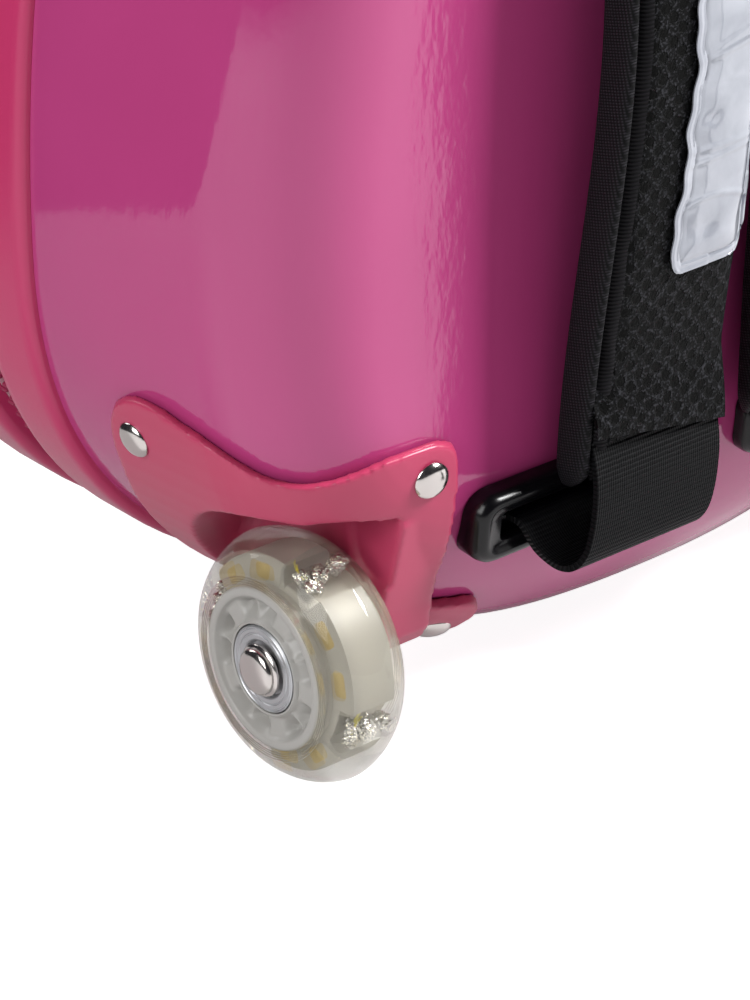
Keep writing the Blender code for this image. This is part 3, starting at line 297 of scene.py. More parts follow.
def half_shell(name, side):
    """One drawn half: its outer face, with the wall added inside and the lining's face on the wall."""
    item = skin(name, shell_rings(side), caps=False)
    ring = len(item.data.vertices) - AROUND
    edit(item, lambda v: v.index >= ring, ("edge_face_add", {}))
    tidy(item)
    if sum(face.normal.y * side * face.area for face in item.data.polygons) < 0:
        item.data.flip_normals()
    for look in (FILM, LINING):
        item.data.materials.append(look)
    modify(item, "SOLIDIFY", thickness=SHELL_WALL, offset=-1.0, use_even_offset=True, material_offset=1)
    return item


WHEEL_AT = Vector((-0.114, -0.07085, 0.032))
POCKET_RADIUS = 0.0395
POCKET_INNER = 0.0145
CUP_WALL = 0.003
TUBE_X = 0.034
TUBE_Y = -0.06845
TUBE_RADIUS = 0.008
TUBE_HOLE_LOW = 0.31
TUBE_HOLE_HIGH = 0.38


def tube_hole(hand):
    """A bar to cut the hole for one side's outer tube."""
    return rod("tube_hole", (TUBE_X * hand, TUBE_Y, TUBE_HOLE_LOW), (TUBE_X * hand, TUBE_Y, TUBE_HOLE_HIGH),
               TUBE_RADIUS + GAP)


rear = half_shell("rear_film_shell", -1)
for hand in (-1, 1):
    spot = Vector((WHEEL_AT.x * -hand, WHEEL_AT.y, WHEEL_AT.z))
    outward = Vector((hand, 0, 0))
    cut(rear, rod("opening", spot - outward * (POCKET_INNER + CUP_WALL + GAP), spot + outward * 0.05,
                  POCKET_RADIUS + CUP_WALL + GAP))
    cut(rear, tube_hole(hand))
smooth(rear, 28)
fit(rear, (), "pink_shell", "case", "rear_shell")


# Front half shell
# The shallow half, drawn from the same film-faced sheet. It swings open as the lid on the zip's last
# stretch of cloth, down the right side.
front = half_shell("front_film_shell", 1)
smooth(front, 28)
fit(front, (), "pink_shell", "lid", "front_shell")


# Rim bands
# A moulded band of softer plastic stands round the edge of each shell and grips the zip's cloth. It is
# pressed over the shell's edge and sewn through from inside.
RIM_PROUD = 0.003
RIM_DEPTH = 0.005
RIM_FLANGE = 0.010
ZIP_HALF = 0.006


def band(name, section):
    """A ring round the case whose section is a list of (outward, y) pairs."""
    points, away = outline()
    rings = []
    for out, depth in section:
        flat = points + away * out
        rings.append(np.column_stack([flat[:, 0], np.full(len(flat), ZIP_Y + depth), flat[:, 1]]))
    return skin(name, rings, join=True)


# Moulded TPE: satin, a warmer pink than the film, with the fine even grain of a spark-eroded mould.
RIM, tree, shader = finish("moulded_tpe_rim", "#bb3263", Roughness=0.30)
at = add(tree, "TexCoord", {}).outputs["Object"]
grit = add(tree, "TexNoise", {"Vector": at, "Scale": 1400.0, "Detail": 3.0})
add(tree, "MapRange", {"Value": grit.outputs[0], "To Min": 0.24, "To Max": 0.38},
    shader.inputs["Roughness"])
add(tree, "Bump", {"Height": grit.outputs[0], "Distance": 0.00002}, shader.inputs["Normal"])

for side, half, body in ((-1, "rear", "case"), (1, "front", "lid")):
    outer = RIM_Y - GAP
    inner = ZIP_HALF + GAP
    section = [(-RIM_DEPTH, RIM_Y + RIM_FLANGE), (-0.0032, RIM_Y + RIM_FLANGE), (-0.0030, outer + 0.0004),
               (-0.0026, outer), (0.0008, outer), (0.0017, outer - 0.0004), (0.0025, outer - 0.0013),
               (0.0029, outer - 0.0026), (RIM_PROUD, outer - 0.0045), (RIM_PROUD, inner + 0.0045),
               (0.0029, inner + 0.0026), (0.0024, inner + 0.0012), (0.0014, inner + 0.0003),
               (0.0004, inner), (-RIM_DEPTH, inner)]
    rim = band(half + "_rim_band", [(out, side * depth) for out, depth in section])
    smooth(rim, 50)
    fit(rim, (RIM,), "rim_pink", body, half + "_rim")


# Zip
# A coil zip runs all round between the rims: a woven tape on each side, and nylon teeth moulded along
# its edge every 2.4 mm, those of one side between those of the other.

# Woven polyester tape: matt, with a fine rib along it every 0.75 mm.
TAPE, tree, shader = finish("woven_zip_tape", "#8e2347", Roughness=0.9, Sheen_Weight=0.4)
at = add(tree, "TexCoord", {}).outputs["Object"]
rib = add(tree, "TexWave", {"Vector": at, "Scale": 420.0, "Distortion": 0.6}, bands_direction="Y")
add(tree, "Bump", {"Height": rib.outputs[1], "Distance": 0.00015, "Strength": 0.6},
    shader.inputs["Normal"])
add(tree, "MixRGB", {"Fac": rib.outputs[1], "Color1": linear("#701a38"), "Color2": linear("#982a50")},
    shader.inputs["Base Color"])

# Nylon coil: the tape's pink, a little glossier where it is worn.
COIL, tree, shader = finish("nylon_zip_coil", "#8c1f45", Roughness=0.55)
at = add(tree, "TexCoord", {}).outputs["Object"]
wear = add(tree, "TexNoise", {"Vector": at, "Scale": 300.0, "Detail": 2.0})
add(tree, "MapRange", {"Value": wear.outputs[0], "To Min": 0.45, "To Max": 0.7},
    shader.inputs["Roughness"])


def strewn(name, item, frames):
    """One small shape repeated at many places, as a single piece."""
    mesh = item.data
    points = np.array([vertex.co for vertex in mesh.vertices])
    faces = [list(face.vertices) for face in mesh.polygons]
    spots, skins = [], []
    for step, spot in enumerate(frames):
        spot = np.array(spot)
        spots.append(points @ spot[:3, :3].T + spot[:3, 3])
        skins += [[corner + step * len(points) for corner in face] for face in faces]
    many = bpy.data.meshes.new(name)
    many.from_pydata(np.concatenate(spots).tolist(), [], skins)
    bpy.data.objects.remove(item)
    item = bpy.data.objects.new(name, many)
    bpy.context.collection.objects.link(item)
    return item


def block(name, centre, half, bevel=0.0, segments=3):
    """A box with its edges rounded, placed by its centre and half sizes."""
    bpy.ops.object.select_all(action="DESELECT")
    bpy.ops.mesh.primitive_cube_add(size=2)
    item = bpy.context.object
    item.name = name
    item.data.transform(Matrix.Translation(centre) @ Matrix.Diagonal((*half, 1.0)))
    if bevel:
        edit(item, everywhere, ("bevel", {"offset": bevel, "segments": segments, "affect": "EDGES"}))
    return item


TEETH = 436
points, away = outline(TEETH)
for side, half, body, first in ((-1, "rear", "case", 0), (1, "front", "lid", 1)):
    seam = GAP / 2
    section = [(-0.0045, ZIP_HALF), (-0.0022, ZIP_HALF), (-0.0019, 0.0040), (-0.0019, 0.0022),
               (-0.0016, 0.0012), (-0.0016, seam), (-0.0045, seam)]
    tape = band(half + "_tape", [(out, side * depth) for out, depth in section])
    smooth(tape, 50)
    fit(tape, (TAPE,), "zip_tape", body, half + "_zip_tape")
    tooth = block("tooth", (0.0, side * 0.0011, -0.0009), (0.00055, 0.00135, 0.0009), 0.0003, 1)
    frames = []
    for step in range(first, TEETH, 2):
        out = Vector((away[step][0], 0, away[step][1]))
        along = Vector((out.z, 0, -out.x))
        spin = Matrix((along, out.cross(along), out)).transposed().to_4x4()
        frames.append(Matrix.Translation((points[step][0], ZIP_Y, points[step][1])) @ spin)
    teeth = strewn(half + "_zip_teeth", tooth, frames)
    fit(teeth, (COIL,), "zip_tape", body)


# Zip sliders and pulls
# Two die-cast zinc sliders meet at the top of the arch, nickel plated. Each has a bridge on its back that
# a stamped pull hangs from, free to swing.
SLIDER_REST = 0.105
SLIDER_BODY = 0.0030
BRIDGE_GAP = 0.0022
SLIDER_CLEAR = 0.0002
ARCH = HALF_WIDTH ** 2 / (TOP_Z - WIDEST_Z)

# Nickel-plated zinc: bright, with hairline scuffs and slightly matt where fingers rub it.
NICKEL, tree, shader = finish("nickel_plated_zinc", "#c2bebb", Metallic=1.0, Roughness=0.2)
at = add(tree, "TexCoord", {}).outputs["Object"]
scuff = add(tree, "TexNoise", {"Vector": at, "Scale": 900.0, "Detail": 4.0})
add(tree, "MapRange", {"Value": scuff.outputs[0], "To Min": 0.12, "To Max": 0.30},
    shader.inputs["Roughness"])


def oblong(half_length, half_width, corner, height, steps=8):
    """Points round a rectangle with round corners, at one height."""
    points = []
    for quarter, (across, along) in enumerate(((1, 1), (-1, 1), (-1, -1), (1, -1))):
        for step in range(steps + 1):
            turn = math.pi / 2 * (quarter + step / steps)
            points.append((across * (half_length - corner) + corner * math.cos(turn),
                           along * (half_width - corner) + corner * math.sin(turn), height))
    return points


angle = -SLIDER_REST
away = Vector((math.sin(angle), 0.0, math.cos(angle)))
along = Vector((-math.cos(angle), 0.0, math.sin(angle)))
seat = Vector((0.0, ZIP_Y, TOP_Z - ARCH)) + away * (ARCH + GAP + SLIDER_CLEAR)
slider_frame = Matrix.Translation(seat) @ Matrix((along, away.cross(along), away)).transposed().to_4x4()
slider = skin("left_slider_cast", [oblong(*ring) for ring in (
    (0.0058, 0.0034, 0.0012, 0.0), (0.0065, 0.0042, 0.0016, 0.0006), (0.0065, 0.0042, 0.0016, 0.0024),
    (0.0060, 0.0037, 0.0014, 0.0030))])
cut(slider, block("nose", (0.0062, 0.0, 0.0015), (0.0022, 0.0011, 0.0022), 0.0006))
bridge = skin("bridge", [oblong(*ring) for ring in (
    (0.0045, 0.0010, 0.0009, 0.0024), (0.0043, 0.0010, 0.0009, 0.0058), (0.0036, 0.0007, 0.0006, 0.0063))])
cut(slider, bridge, "UNION")
cut(slider, block("window", (0, 0, 0.0041), (0.0026, 0.003, 0.0011), 0.0005))
modify(slider, "BEVEL", width=0.00015, segments=1)
slider.data.transform(slider_frame)
smooth(slider)

PULL_MIDDLE = 0.01235
EYE_MIDDLE = 0.00305
GRIP_HOLE = 0.0197
GRIP_HOLE_RADIUS = 0.0020
pull = skin("left_pull_stamped", [oblong(*ring) for ring in (
    (0.0129, 0.0037, 0.0030, -0.0006), (0.0130, 0.0040, 0.0032, -0.0004), (0.0130, 0.0040, 0.0032, 0.0004),
    (0.0129, 0.0037, 0.0030, 0.0006))])
pull.data.transform(Matrix.Translation((PULL_MIDDLE, 0, 0)))
eye = skin("eye", [oblong(0.0024, 0.0018, 0.0012, height) for height in (-0.002, 0.002)])
eye.data.transform(Matrix.Translation((EYE_MIDDLE, 0, 0)))
cut(pull, eye)
cut(pull, rod("hole", (GRIP_HOLE, 0, -0.002), (GRIP_HOLE, 0, 0.002), GRIP_HOLE_RADIUS, 32))
pull.data.transform(slider_frame @ Matrix.Translation((0, 0, SLIDER_BODY + BRIDGE_GAP / 2)))
smooth(pull)


def pair(item, kind, looks, slot, body, *nodes):
    """Set a left piece and its mirrored copy on the case's two sides, in place of each side's solids."""
    twin = item.copy()
    twin.data = item.data.copy()
    bpy.context.collection.objects.link(twin)
    twin.data.transform(Matrix.Scale(-1, 4, (1, 0, 0)))
    twin.data.flip_normals()
    for hand, piece in (("left", item), ("right", twin)):
        piece.name = f"{hand}_{kind}"
        fit(piece, looks, slot, body.replace("SIDE", hand), *[f"{hand}_{node}" for node in nodes])
    return item, twin


pair(slider, "slider_cast", (NICKEL,), "zip_metal", "SIDE_slider", "zip_slider")
pair(pull, "pull_stamped", (NICKEL,), "zip_metal", "SIDE_pull", "zip_pull")


# Wheel housings
# An injection-moulded polypropylene cover wraps each lower corner, 3 mm thick with softly rounded edges.
# A cup in it goes through a hole in the shell and holds the wheel, and three rivets hold it on.
WHEEL_OUT = Vector((-1, 0, 0))
HOUSING_THICK = 0.003
HOUSING_FRONT = -0.046
HOUSING_INNER_X = 0.0825
# The cover's outline as (along the corner's diagonal, up) pairs, and the steps from its end to below
HOUSING_EDGE = [(-0.0376, 0.0495), (-0.0400, 0.0565), (-0.0424, 0.0680), (-0.0441, 0.0790),
                (-0.0434, 0.0858), (-0.0414, 0.0900), (-0.0378, 0.0928), (-0.0325, 0.0936),
                (-0.0250, 0.0920), (-0.0178, 0.0903), (-0.0108, 0.0873), (-0.0040, 0.0844),
                (0.0025, 0.0831), (0.0091, 0.0834), (0.0157, 0.0850), (0.0228, 0.0870),
                (0.0295, 0.0876), (0.0352, 0.0868), (0.0385, 0.0838), (0.0394, 0.0785),
                (0.0388, 0.0660)]
HOUSING_LEDGE = [(0.0, -0.014), (0.050, -0.018)]
# The side view of the lug that reaches in under the case, as (y from the zip, z) pairs
LUG_SIDE = [(-0.1172, 0.0680), (-0.1105, 0.0410), (-0.1092, 0.0330), (-0.1065, 0.0290), (-0.1020, 0.0270),
            (-0.0860, 0.0270), (-0.0800, 0.0290), (-0.0770, 0.0340), (-0.0760, 0.0680)]
CLEARANCE_OVER_SHELL = GAP + HOUSING_THICK
TAB_ALONG = 0.0037
ARCH_CORNER = Vector((0, -0.0120, 0.0286))
ARCH_CORNER_RADIUS = 0.0110
ARCH_CORNER_ENDS = (-0.098, -0.160)
POCKET_ROUND = 0.004
BOSS_RADIUS = 0.0065
BOSS_REACH = 0.0118
PIN_BORE_RADIUS = 0.00415
PIN_BORE_DEPTH = 0.0223
RIVET_HOLE_RADIUS = 0.0023
# Where each rivet goes through the housing's outer face, and the way it points
RIVETS = [((-0.13325, -0.03343, 0.08114), (-0.9694, -0.0434, -0.2417)),
          ((-0.09101, -0.09153, 0.07869), (-0.1081, -0.9889, -0.1016)),
          ((-0.07050, -0.06884, 0.02301), (-0.3061, -0.6017, -0.7377))]

# Moulded polypropylene: satin and a little waxy, with a fine mould grain and soft flow marks.
HOUSING, tree, shader = finish("moulded_polypropylene", "#b53a5d", Roughness=0.34, Specular_IOR_Level=0.45)
at = add(tree, "TexCoord", {}).outputs["Object"]
flow = add(tree, "TexNoise", {"Vector": at, "Scale": 45.0, "Detail": 2.0})
grit = add(tree, "TexNoise", {"Vector": at, "Scale": 1600.0, "Detail": 2.0})
add(tree, "MixRGB", {"Fac": flow.outputs[0], "Color1": linear("#b0385a"), "Color2": linear("#bb3f63")},
    shader.inputs["Base Color"])
add(tree, "MapRange", {"Value": flow.outputs[0], "To Min": 0.28, "To Max": 0.42},
    shader.inputs["Roughness"])
add(tree, "Bump", {"Height": grit.outputs[0], "Distance": 0.00001}, shader.inputs["Normal"])


def case_block(side, offset):
    """A solid with the outer shape of a half shell, to cut pieces that lie on it."""
    return skin("case_block", shell_rings(side, offset))


# The cover's outline, seen along the corner's diagonal, as a prism that trims the moulding
data = bpy.data.curves.new("housing_edge", "CURVE")
data.dimensions = "2D"
data.fill_mode = "BOTH"
data.extrude = HALF_WIDTH
data.resolution_u = 8
line = data.splines.new("BEZIER")
last = HOUSING_EDGE[-1]
ledge = [(last[0] + along, last[1] + up) for along, up in HOUSING_LEDGE]
corners = HOUSING_EDGE + ledge + [(ledge[-1][0], -0.03), (HOUSING_EDGE[0][0] - 0.02, -0.03)]
line.bezier_points.add(len(corners) - 1)
for knot, (along, up) in zip(line.bezier_points, corners):
    knot.co = (along, up, 0.0)
    knot.handle_left_type = "AUTO"
    knot.handle_right_type = "AUTO"
for knot in line.bezier_points[-5:]:
    knot.handle_left_type = "VECTOR"
    knot.handle_right_type = "VECTOR"
line.use_cyclic_u = True
trim = bpy.data.objects.new("housing_trim", data)
bpy.context.collection.objects.link(trim)
only(trim)
bpy.ops.object.convert(target="MESH")
root = math.sqrt(0.5)
along, up = Vector((root, -root, 0)), Vector((0, 0, 1))
corner = Vector((-HALF_WIDTH - 0.001, ZIP_Y - BACK_Y - HOUSING_THICK, 0))
trim.data.transform(Matrix.Translation(corner) @ Matrix((along, up, along.cross(up))).transposed().to_4x4())
tidy(trim)

housing = case_block(-1, CLEARANCE_OVER_SHELL)
housing.name = "left_housing_moulding"
cut(housing, trim, "INTERSECT")
keep = block("keep", (-HOUSING_INNER_X - 0.04, ZIP_Y + HOUSING_FRONT - 0.05, 0.0625), (0.04, 0.05, 0.0825))
tab_way = Vector(RIVETS[2][1])
tab = skin("tab", [oblong(0.0115, 0.0140, 0.006, -0.012), oblong(0.0115, 0.0140, 0.006, 0.012)])
tab_frame = placed(Vector(RIVETS[2][0]) - tab_way * CLEARANCE_OVER_SHELL, tab_way)
sideways = tab_frame.to_3x3().inverted() @ Vector((-1, 0, 0))
spin = Matrix.Rotation(math.atan2(sideways.y, sideways.x), 4, "Z")
tab.data.transform(tab_frame @ spin @ Matrix.Translation((TAB_ALONG, 0, 0)))
cut(keep, tab, "UNION")
cut(housing, keep, "INTERSECT")
inner_x = WHEEL_AT.x + POCKET_INNER
lug = skin("lug", [[(across, ZIP_Y + y, z) for y, z in LUG_SIDE] for across in (inner_x, -HOUSING_INNER_X)])
cut(housing, lug, "UNION")
cut(housing, case_block(-1, GAP))
beyond = WHEEL_AT + WHEEL_OUT * 0.043
cup = rod("cup", WHEEL_AT - WHEEL_OUT * (POCKET_INNER + CUP_WALL), beyond, POCKET_RADIUS + CUP_WALL, 128)
cut(cup, case_block(-1, GAP + HOUSING_THICK / 2), "INTERSECT")
cut(housing, cup, "UNION")
pocket = rod("pocket", WHEEL_AT - WHEEL_OUT * POCKET_INNER, beyond, POCKET_RADIUS, 128)
# The opening is squarer than round towards the back, where the arch turns down into the upright side
square = WHEEL_AT + ARCH_CORNER
square_ends = [(across, square.y, square.z) for across in ARCH_CORNER_ENDS]
cut(housing, rod("corner", *square_ends, ARCH_CORNER_RADIUS))
edit(pocket, lambda v: abs(v.co.x - inner_x) < 1e-5,
     ("bevel", {"offset": POCKET_ROUND, "segments": 5, "affect": "EDGES"}))
cut(housing, pocket)
cut(housing, rod("boss", WHEEL_AT - WHEEL_OUT * (POCKET_INNER + CUP_WALL / 2),
                 WHEEL_AT - WHEEL_OUT * BOSS_REACH, BOSS_RADIUS), "UNION")
cut(housing, rod("bore", WHEEL_AT - WHEEL_OUT * PIN_BORE_DEPTH, WHEEL_AT, PIN_BORE_RADIUS))
for spot, way in RIVETS:
    spot, way = Vector(spot), Vector(way)
    cut(housing, rod("rivet_hole", spot - way * 0.012, spot + way * 0.004, RIVET_HOLE_RADIUS, 32))
# Fine square mesh all over, then eased, which rounds every edge as the mould does
modify(housing, "REMESH", mode="VOXEL", voxel_size=0.00075, adaptivity=0.0)
modify(housing, "SMOOTH", factor=0.5, iterations=4)
smooth(housing, 60)
pair(housing, "housing_moulding", (HOUSING,), "housing_pink", "case", "wheel_housing")


# Rivets
# Three steel rivets hold each cover to its corner. Each has a low domed head outside, and a tail that the
# closing tool spread over the inside of the shell's wall.

# Zinc-plated steel: bright and slightly warm, polished on the dome by the closing tool.
PLATE, tree, shader = finish("zinc_plated_steel", "#cfc9c6", Metallic=1.0, Roughness=0.16)
at = add(tree, "TexCoord", {}).outputs["Object"]
scuff = add(tree, "TexNoise", {"Vector": at, "Scale": 1100.0, "Detail": 3.0})
add(tree, "MapRange", {"Value": scuff.outputs[0], "To Min": 0.10, "To Max": 0.24},
    shader.inputs["Roughness"])
add(tree, "Bump", {"Height": scuff.outputs[0], "Distance": 0.00001}, shader.inputs["Normal"])


def turned(name, profile, frame, sides=96, join=False):
    """A turned piece from (radius, height) pairs down its outer side, either of which may vary round it."""
    turn = np.linspace(0, math.tau, sides, endpoint=False)
    spin = np.array(frame.to_3x3())
    rings = []
    for radius, height in profile:
        radius, height = np.broadcast_to(radius, sides), np.broadcast_to(height, sides)
        ring = np.column_stack([radius * np.cos(turn), radius * np.sin(turn), height])
        rings.append(ring @ spin.T + np.array(frame.translation))
    return skin(name, rings, join, caps=False)


RIVET_HEAD = [(0.0, 0.0019), (0.0012, 0.00188), (0.0024, 0.00172), (0.0034, 0.00140), (0.0041, 0.00098),
              (0.0046, 0.00050), (0.0048, 0.00018), (0.0048, 0.0), (0.0020, 0.0), (0.0020, -0.0062),
              (0.0036, -0.0062), (0.0036, -0.0070), (0.0032, -0.0074), (0.0, -0.0074)]
RIVET_CLEAR = 0.0002
for number, (spot, way) in enumerate(RIVETS, 1):
    rivet = turned(f"rivet_{number}", RIVET_HEAD, placed(Vector(spot) + Vector(way) * RIVET_CLEAR, way), 48)
    smooth(rivet, 50)
    pair(rivet, f"closed_rivet_{number}", (PLATE,), "plated_steel", "case", f"rivet_{number}")


# Wheels
# Each wheel is a white ABS core with clear polyurethane cast round it. Light pods sit in four gaps of the
# core's rim, and a magnet sleeve on the axle powers them as the wheel turns on two ball bearings.
WHEEL = Matrix.Translation(WHEEL_AT) @ Matrix(((0, 0, -1), (-1, 0, 0), (0, 1, 0))).to_4x4()
CORE_RADIUS = 0.0272
CORE_HALF = 0.0070
POD_ANGLES = [math.radians(turn) for turn in (70, 160, 250, 340)]
SIDES = 180
around = np.linspace(0, math.tau, SIDES, endpoint=False)


def near(angles, half, edge):
    """1 within half an angle of any of these, falling to 0 over an edge, for each step round a wheel."""
    apart = np.min([np.abs((around - turn + math.pi) % math.tau - math.pi) for turn in angles], axis=0)
    return np.clip((half + edge - apart) / edge, 0.0, 1.0)


# ABS: white, moulded, half gloss, slightly translucent at thin edges. Its colour is set well below white,
# because the strongest lamp falls straight on it.
CORE, tree, shader = finish("white_abs_core", "#a6a4a0", Roughness=0.36, Subsurface_Weight=0.08)
shader.inputs["Subsurface Radius"].default_value = (0.002, 0.002, 0.002)
at = add(tree, "TexCoord", {}).outputs["Object"]
grit = add(tree, "TexNoise", {"Vector": at, "Scale": 700.0, "Detail": 2.0})
add(tree, "Bump", {"Height": grit.outputs[0], "Distance": 0.00002}, shader.inputs["Normal"])

gap = near(POD_ANGLES, math.radians(12.5), math.radians(1.5))
rim = CORE_RADIUS - 0.0048 * gap
# Hollows moulded in the core's face, in five pairs with a rib between each two
pits = [math.radians(turn + shift) for turn in (31, 103, 175, 247, 319) for shift in (-13, 13)]
soft = near(pits, math.radians(6), math.radians(8))
soft = soft * soft * (3 - 2 * soft)
core = []
for way in (1, -1):
    half = [(0.0117, 0.0115), (0.0120, 0.0113), (0.0123, 0.0104), (0.0130, 0.0102 - 0.0004 * soft),
            (0.0140, 0.0102 - 0.0014 * soft), (0.0152, 0.0101 - 0.0028 * soft),
            (0.0163, 0.0101 - 0.0030 * soft), (0.0171, 0.0101 - 0.0012 * soft),
            (0.0175, 0.0102 - 0.0001 * soft), (0.0179, 0.0106),
            (0.0181, 0.0113), (0.0184, 0.0116), (0.0190, 0.0117), (0.0199, 0.0117), (0.0203, 0.0115),
            (0.0206, 0.0111), (0.0206, CORE_HALF), (rim - 0.0012, CORE_HALF), (rim, CORE_HALF - 0.0008)]
    half = [(radius, height * way) for radius, height in half]
    core += half if way > 0 else half[::-1]
bore = [(0.0113, -0.0113), (0.0113, -0.0042), (0.0065, -0.0032), (0.0065, 0.0032), (0.0113, 0.0042),
        (0.0113, 0.0113)]
hub = turned("left_core_moulding", core + bore, WHEEL, SIDES, join=True)
smooth(hub, 40)
pair(hub, "core_moulding", (CORE,), "white_hub", "SIDE_wheel", "hub")

# Cast polyurethane: clear with a straw tint, soft and slightly tacky, so its gloss is not quite sharp.
CLEAR, tree, shader = finish("cast_polyurethane", "#ece4c9", Roughness=0.05, IOR=1.47,
                             Transmission_Weight=1.0, Alpha=0.52)
at = add(tree, "TexCoord", {}).outputs["Object"]
ripple = add(tree, "TexNoise", {"Vector": at, "Scale": 110.0, "Detail": 2.0})
add(tree, "Bump", {"Height": ripple.outputs[0], "Distance": 0.00015}, shader.inputs["Normal"])

# The tyre's half section: four fine ribs beside the core, then a crown a little more pointed than round
RIB_AT = 0.0209
RIB_PITCH = 0.0006
CROWN_AT = 0.0230
CROWN_RISE = 0.0090
TYRE_HALF = 0.0117
CROWN_POWER = 1.25
CROWN_STEPS = 24
tyre = []
for step in range(4):
    base = RIB_AT + RIB_PITCH * step
    tyre += [(base, 0.0113), (base + 0.00015, 0.0118), (base + 0.0003, 0.0118), (base + 0.00045, 0.0113)]
for step in range(1, CROWN_STEPS + 1):
    turn = math.pi / 2 * step / CROWN_STEPS
    tyre.append((CROWN_AT + CROWN_RISE * math.sin(turn) ** CROWN_POWER,
                 TYRE_HALF * math.cos(turn) ** CROWN_POWER))
tyre = tyre[:-1] + [(radius, -height) for radius, height in tyre[::-1]]
tyre = [(0.0203, 0.0110)] + tyre + [(0.0203, -0.0110)]
tread = turned("left_cast_tyre", tyre, WHEEL, 128, join=True)
smooth(tread, 60)
pair(tread, "cast_tyre", (CLEAR,), "clear_tyre", "SIDE_wheel", "tyre")

# Windows in the core's flanges, where the amber circuit ring behind them shows through the clear tyre.
AMBER, tree, shader = finish("amber_circuit_ring", "#b3a070", Roughness=0.5)
at = add(tree, "TexCoord", {}).outputs["Object"]
cloud = add(tree, "TexNoise", {"Vector": at, "Scale": 320.0, "Detail": 3.0})
add(tree, "MixRGB", {"Fac": cloud.outputs[0], "Color1": linear("#96835a"), "Color2": linear("#c2b180")},
    shader.inputs["Base Color"])

WINDOW_AT = 0.0234
frames = []
for pod in POD_ANGLES:
    for turn in (pod + math.radians(30), pod + math.radians(60)):
        for way in (1, -1):
            spin = Matrix.Rotation(turn, 4, "Z") @ Matrix.Translation((WINDOW_AT, 0, way * CORE_HALF))
            frames.append(WHEEL @ spin)
pane = skin("pane", [oblong(*ring, 4) for ring in (
    (0.0018, 0.0032, 0.0010, -0.0002), (0.0020, 0.0034, 0.0012, 0.0), (0.0018, 0.0032, 0.0010, 0.0002))])
panes = strewn("left_core_windows", pane, frames)
smooth(panes, 60)
pair(panes, "core_windows", (AMBER,), "white_hub", "SIDE_wheel")

# Light pods: each gap holds a lamp's tinned legs, crumpled to bright lumps by the casting.
LAMP, tree, shader = finish("tinned_lamp_legs", "#e6e6e4", Metallic=1.0, Roughness=0.12)
at = add(tree, "TexCoord", {}).outputs["Object"]
crumple = add(tree, "TexVoronoi", {"Vector": at, "Scale": 900.0})
add(tree, "Bump", {"Height": crumple.outputs[0], "Distance": 0.0004}, shader.inputs["Normal"])
bpy.ops.object.select_all(action="DESELECT")
bpy.ops.mesh.primitive_ico_sphere_add(subdivisions=3, radius=0.0020)
lump = bpy.context.object
dents = np.random.default_rng(5).normal(1.0, 0.13, len(lump.data.vertices))
for vertex, dent in zip(lump.data.vertices, dents):
    vertex.co *= dent
POD_AT = 0.0254
# Each leg's turn round the wheel, lift, place across it, twist and length
LEGS = [(-0.07, 0.0, 0.0038, 0.4, 1.2), (0.02, 0.0004, 0.0006, 1.3, 1.5), (0.08, -0.0003, 0.0044, 2.2, 0.9),
        (0.03, 0.0008, -0.0040, 2.9, 1.2)]
legs = []
for pod in POD_ANGLES:
    for shift, lift, height, twist, long in LEGS:
        spot = Matrix.Rotation(pod + shift, 4, "Z") @ Matrix.Translation((POD_AT + lift, 0, height))
        shape = Matrix.Rotation(twist, 4, (1, 1, 0)) @ Matrix.Diagonal((0.8, 1.0, long, 1.0))
        legs.append(WHEEL @ spot @ shape)
lamps = strewn("left_lamp_pods", lump, legs)
pair(lamps, "lamp_pods", (LAMP,), "plated_steel", "SIDE_wheel")

# Lead wire: enamelled copper under a yellow sleeve, laid from each lamp to the ring.
LEAD, tree, shader = finish("yellow_lead_sleeve", "#c9c23a", Roughness=0.45)
at = add(tree, "TexCoord", {}).outputs["Object"]
smudge = add(tree, "TexNoise", {"Vector": at, "Scale": 500.0, "Detail": 2.0})
add(tree, "MixRGB", {"Fac": smudge.outputs[0], "Color1": linear("#b9ae2c"), "Color2": linear("#d6d055")},
    shader.inputs["Base Color"])
LEAD_AT = 0.0262
LEAD_RADIUS = 0.00032
rings = []
for share in np.linspace(0, 1, 14):
    turn = 0.04 + 0.30 * share
    middle = Vector((LEAD_AT * math.cos(turn), LEAD_AT * math.sin(turn), 0.0052 - 0.0050 * share ** 2))
    rings.append([middle + Vector((LEAD_RADIUS * math.cos(spin), 0, LEAD_RADIUS * math.sin(spin)))
                  for spin in np.linspace(0, math.tau, 8, endpoint=False)])
lead = strewn("left_lamp_leads", skin("lead", rings),
              [WHEEL @ Matrix.Rotation(pod, 4, "Z") for pod in POD_ANGLES])
smooth(lead, 60)
pair(lead, "lamp_leads", (LEAD,), "clear_tyre", "SIDE_wheel")

# Bearing steel: ground and bright, with a thin dark line at each edge of the dust shield.
BEARING, tree, shader = finish("ground_bearing_steel", "#b9babd", Metallic=0.75, Roughness=0.4)
at = add(tree, "TexCoord", {}).outputs["Object"]
hair = add(tree, "TexNoise", {"Vector": at, "Scale": 1500.0, "Detail": 2.0})
add(tree, "MapRange", {"Value": hair.outputs[0], "To Min": 0.30, "To Max": 0.44},
    shader.inputs["Roughness"])
RACES = [(0.0042, 0.0045), (0.0042, 0.0098), (0.0068, 0.0098), (0.0072, 0.0104), (0.0072, 0.0111),
         (0.0076, 0.0114), (0.0086, 0.01145), (0.0088, 0.0112), (0.0090, 0.0112), (0.0092, 0.01145),
         (0.0100, 0.0115), (0.0102, 0.0113), (0.0104, 0.0113), (0.0106, 0.0115), (0.0109, 0.0113),
         (0.0110, 0.0110), (0.0110, 0.0045)]
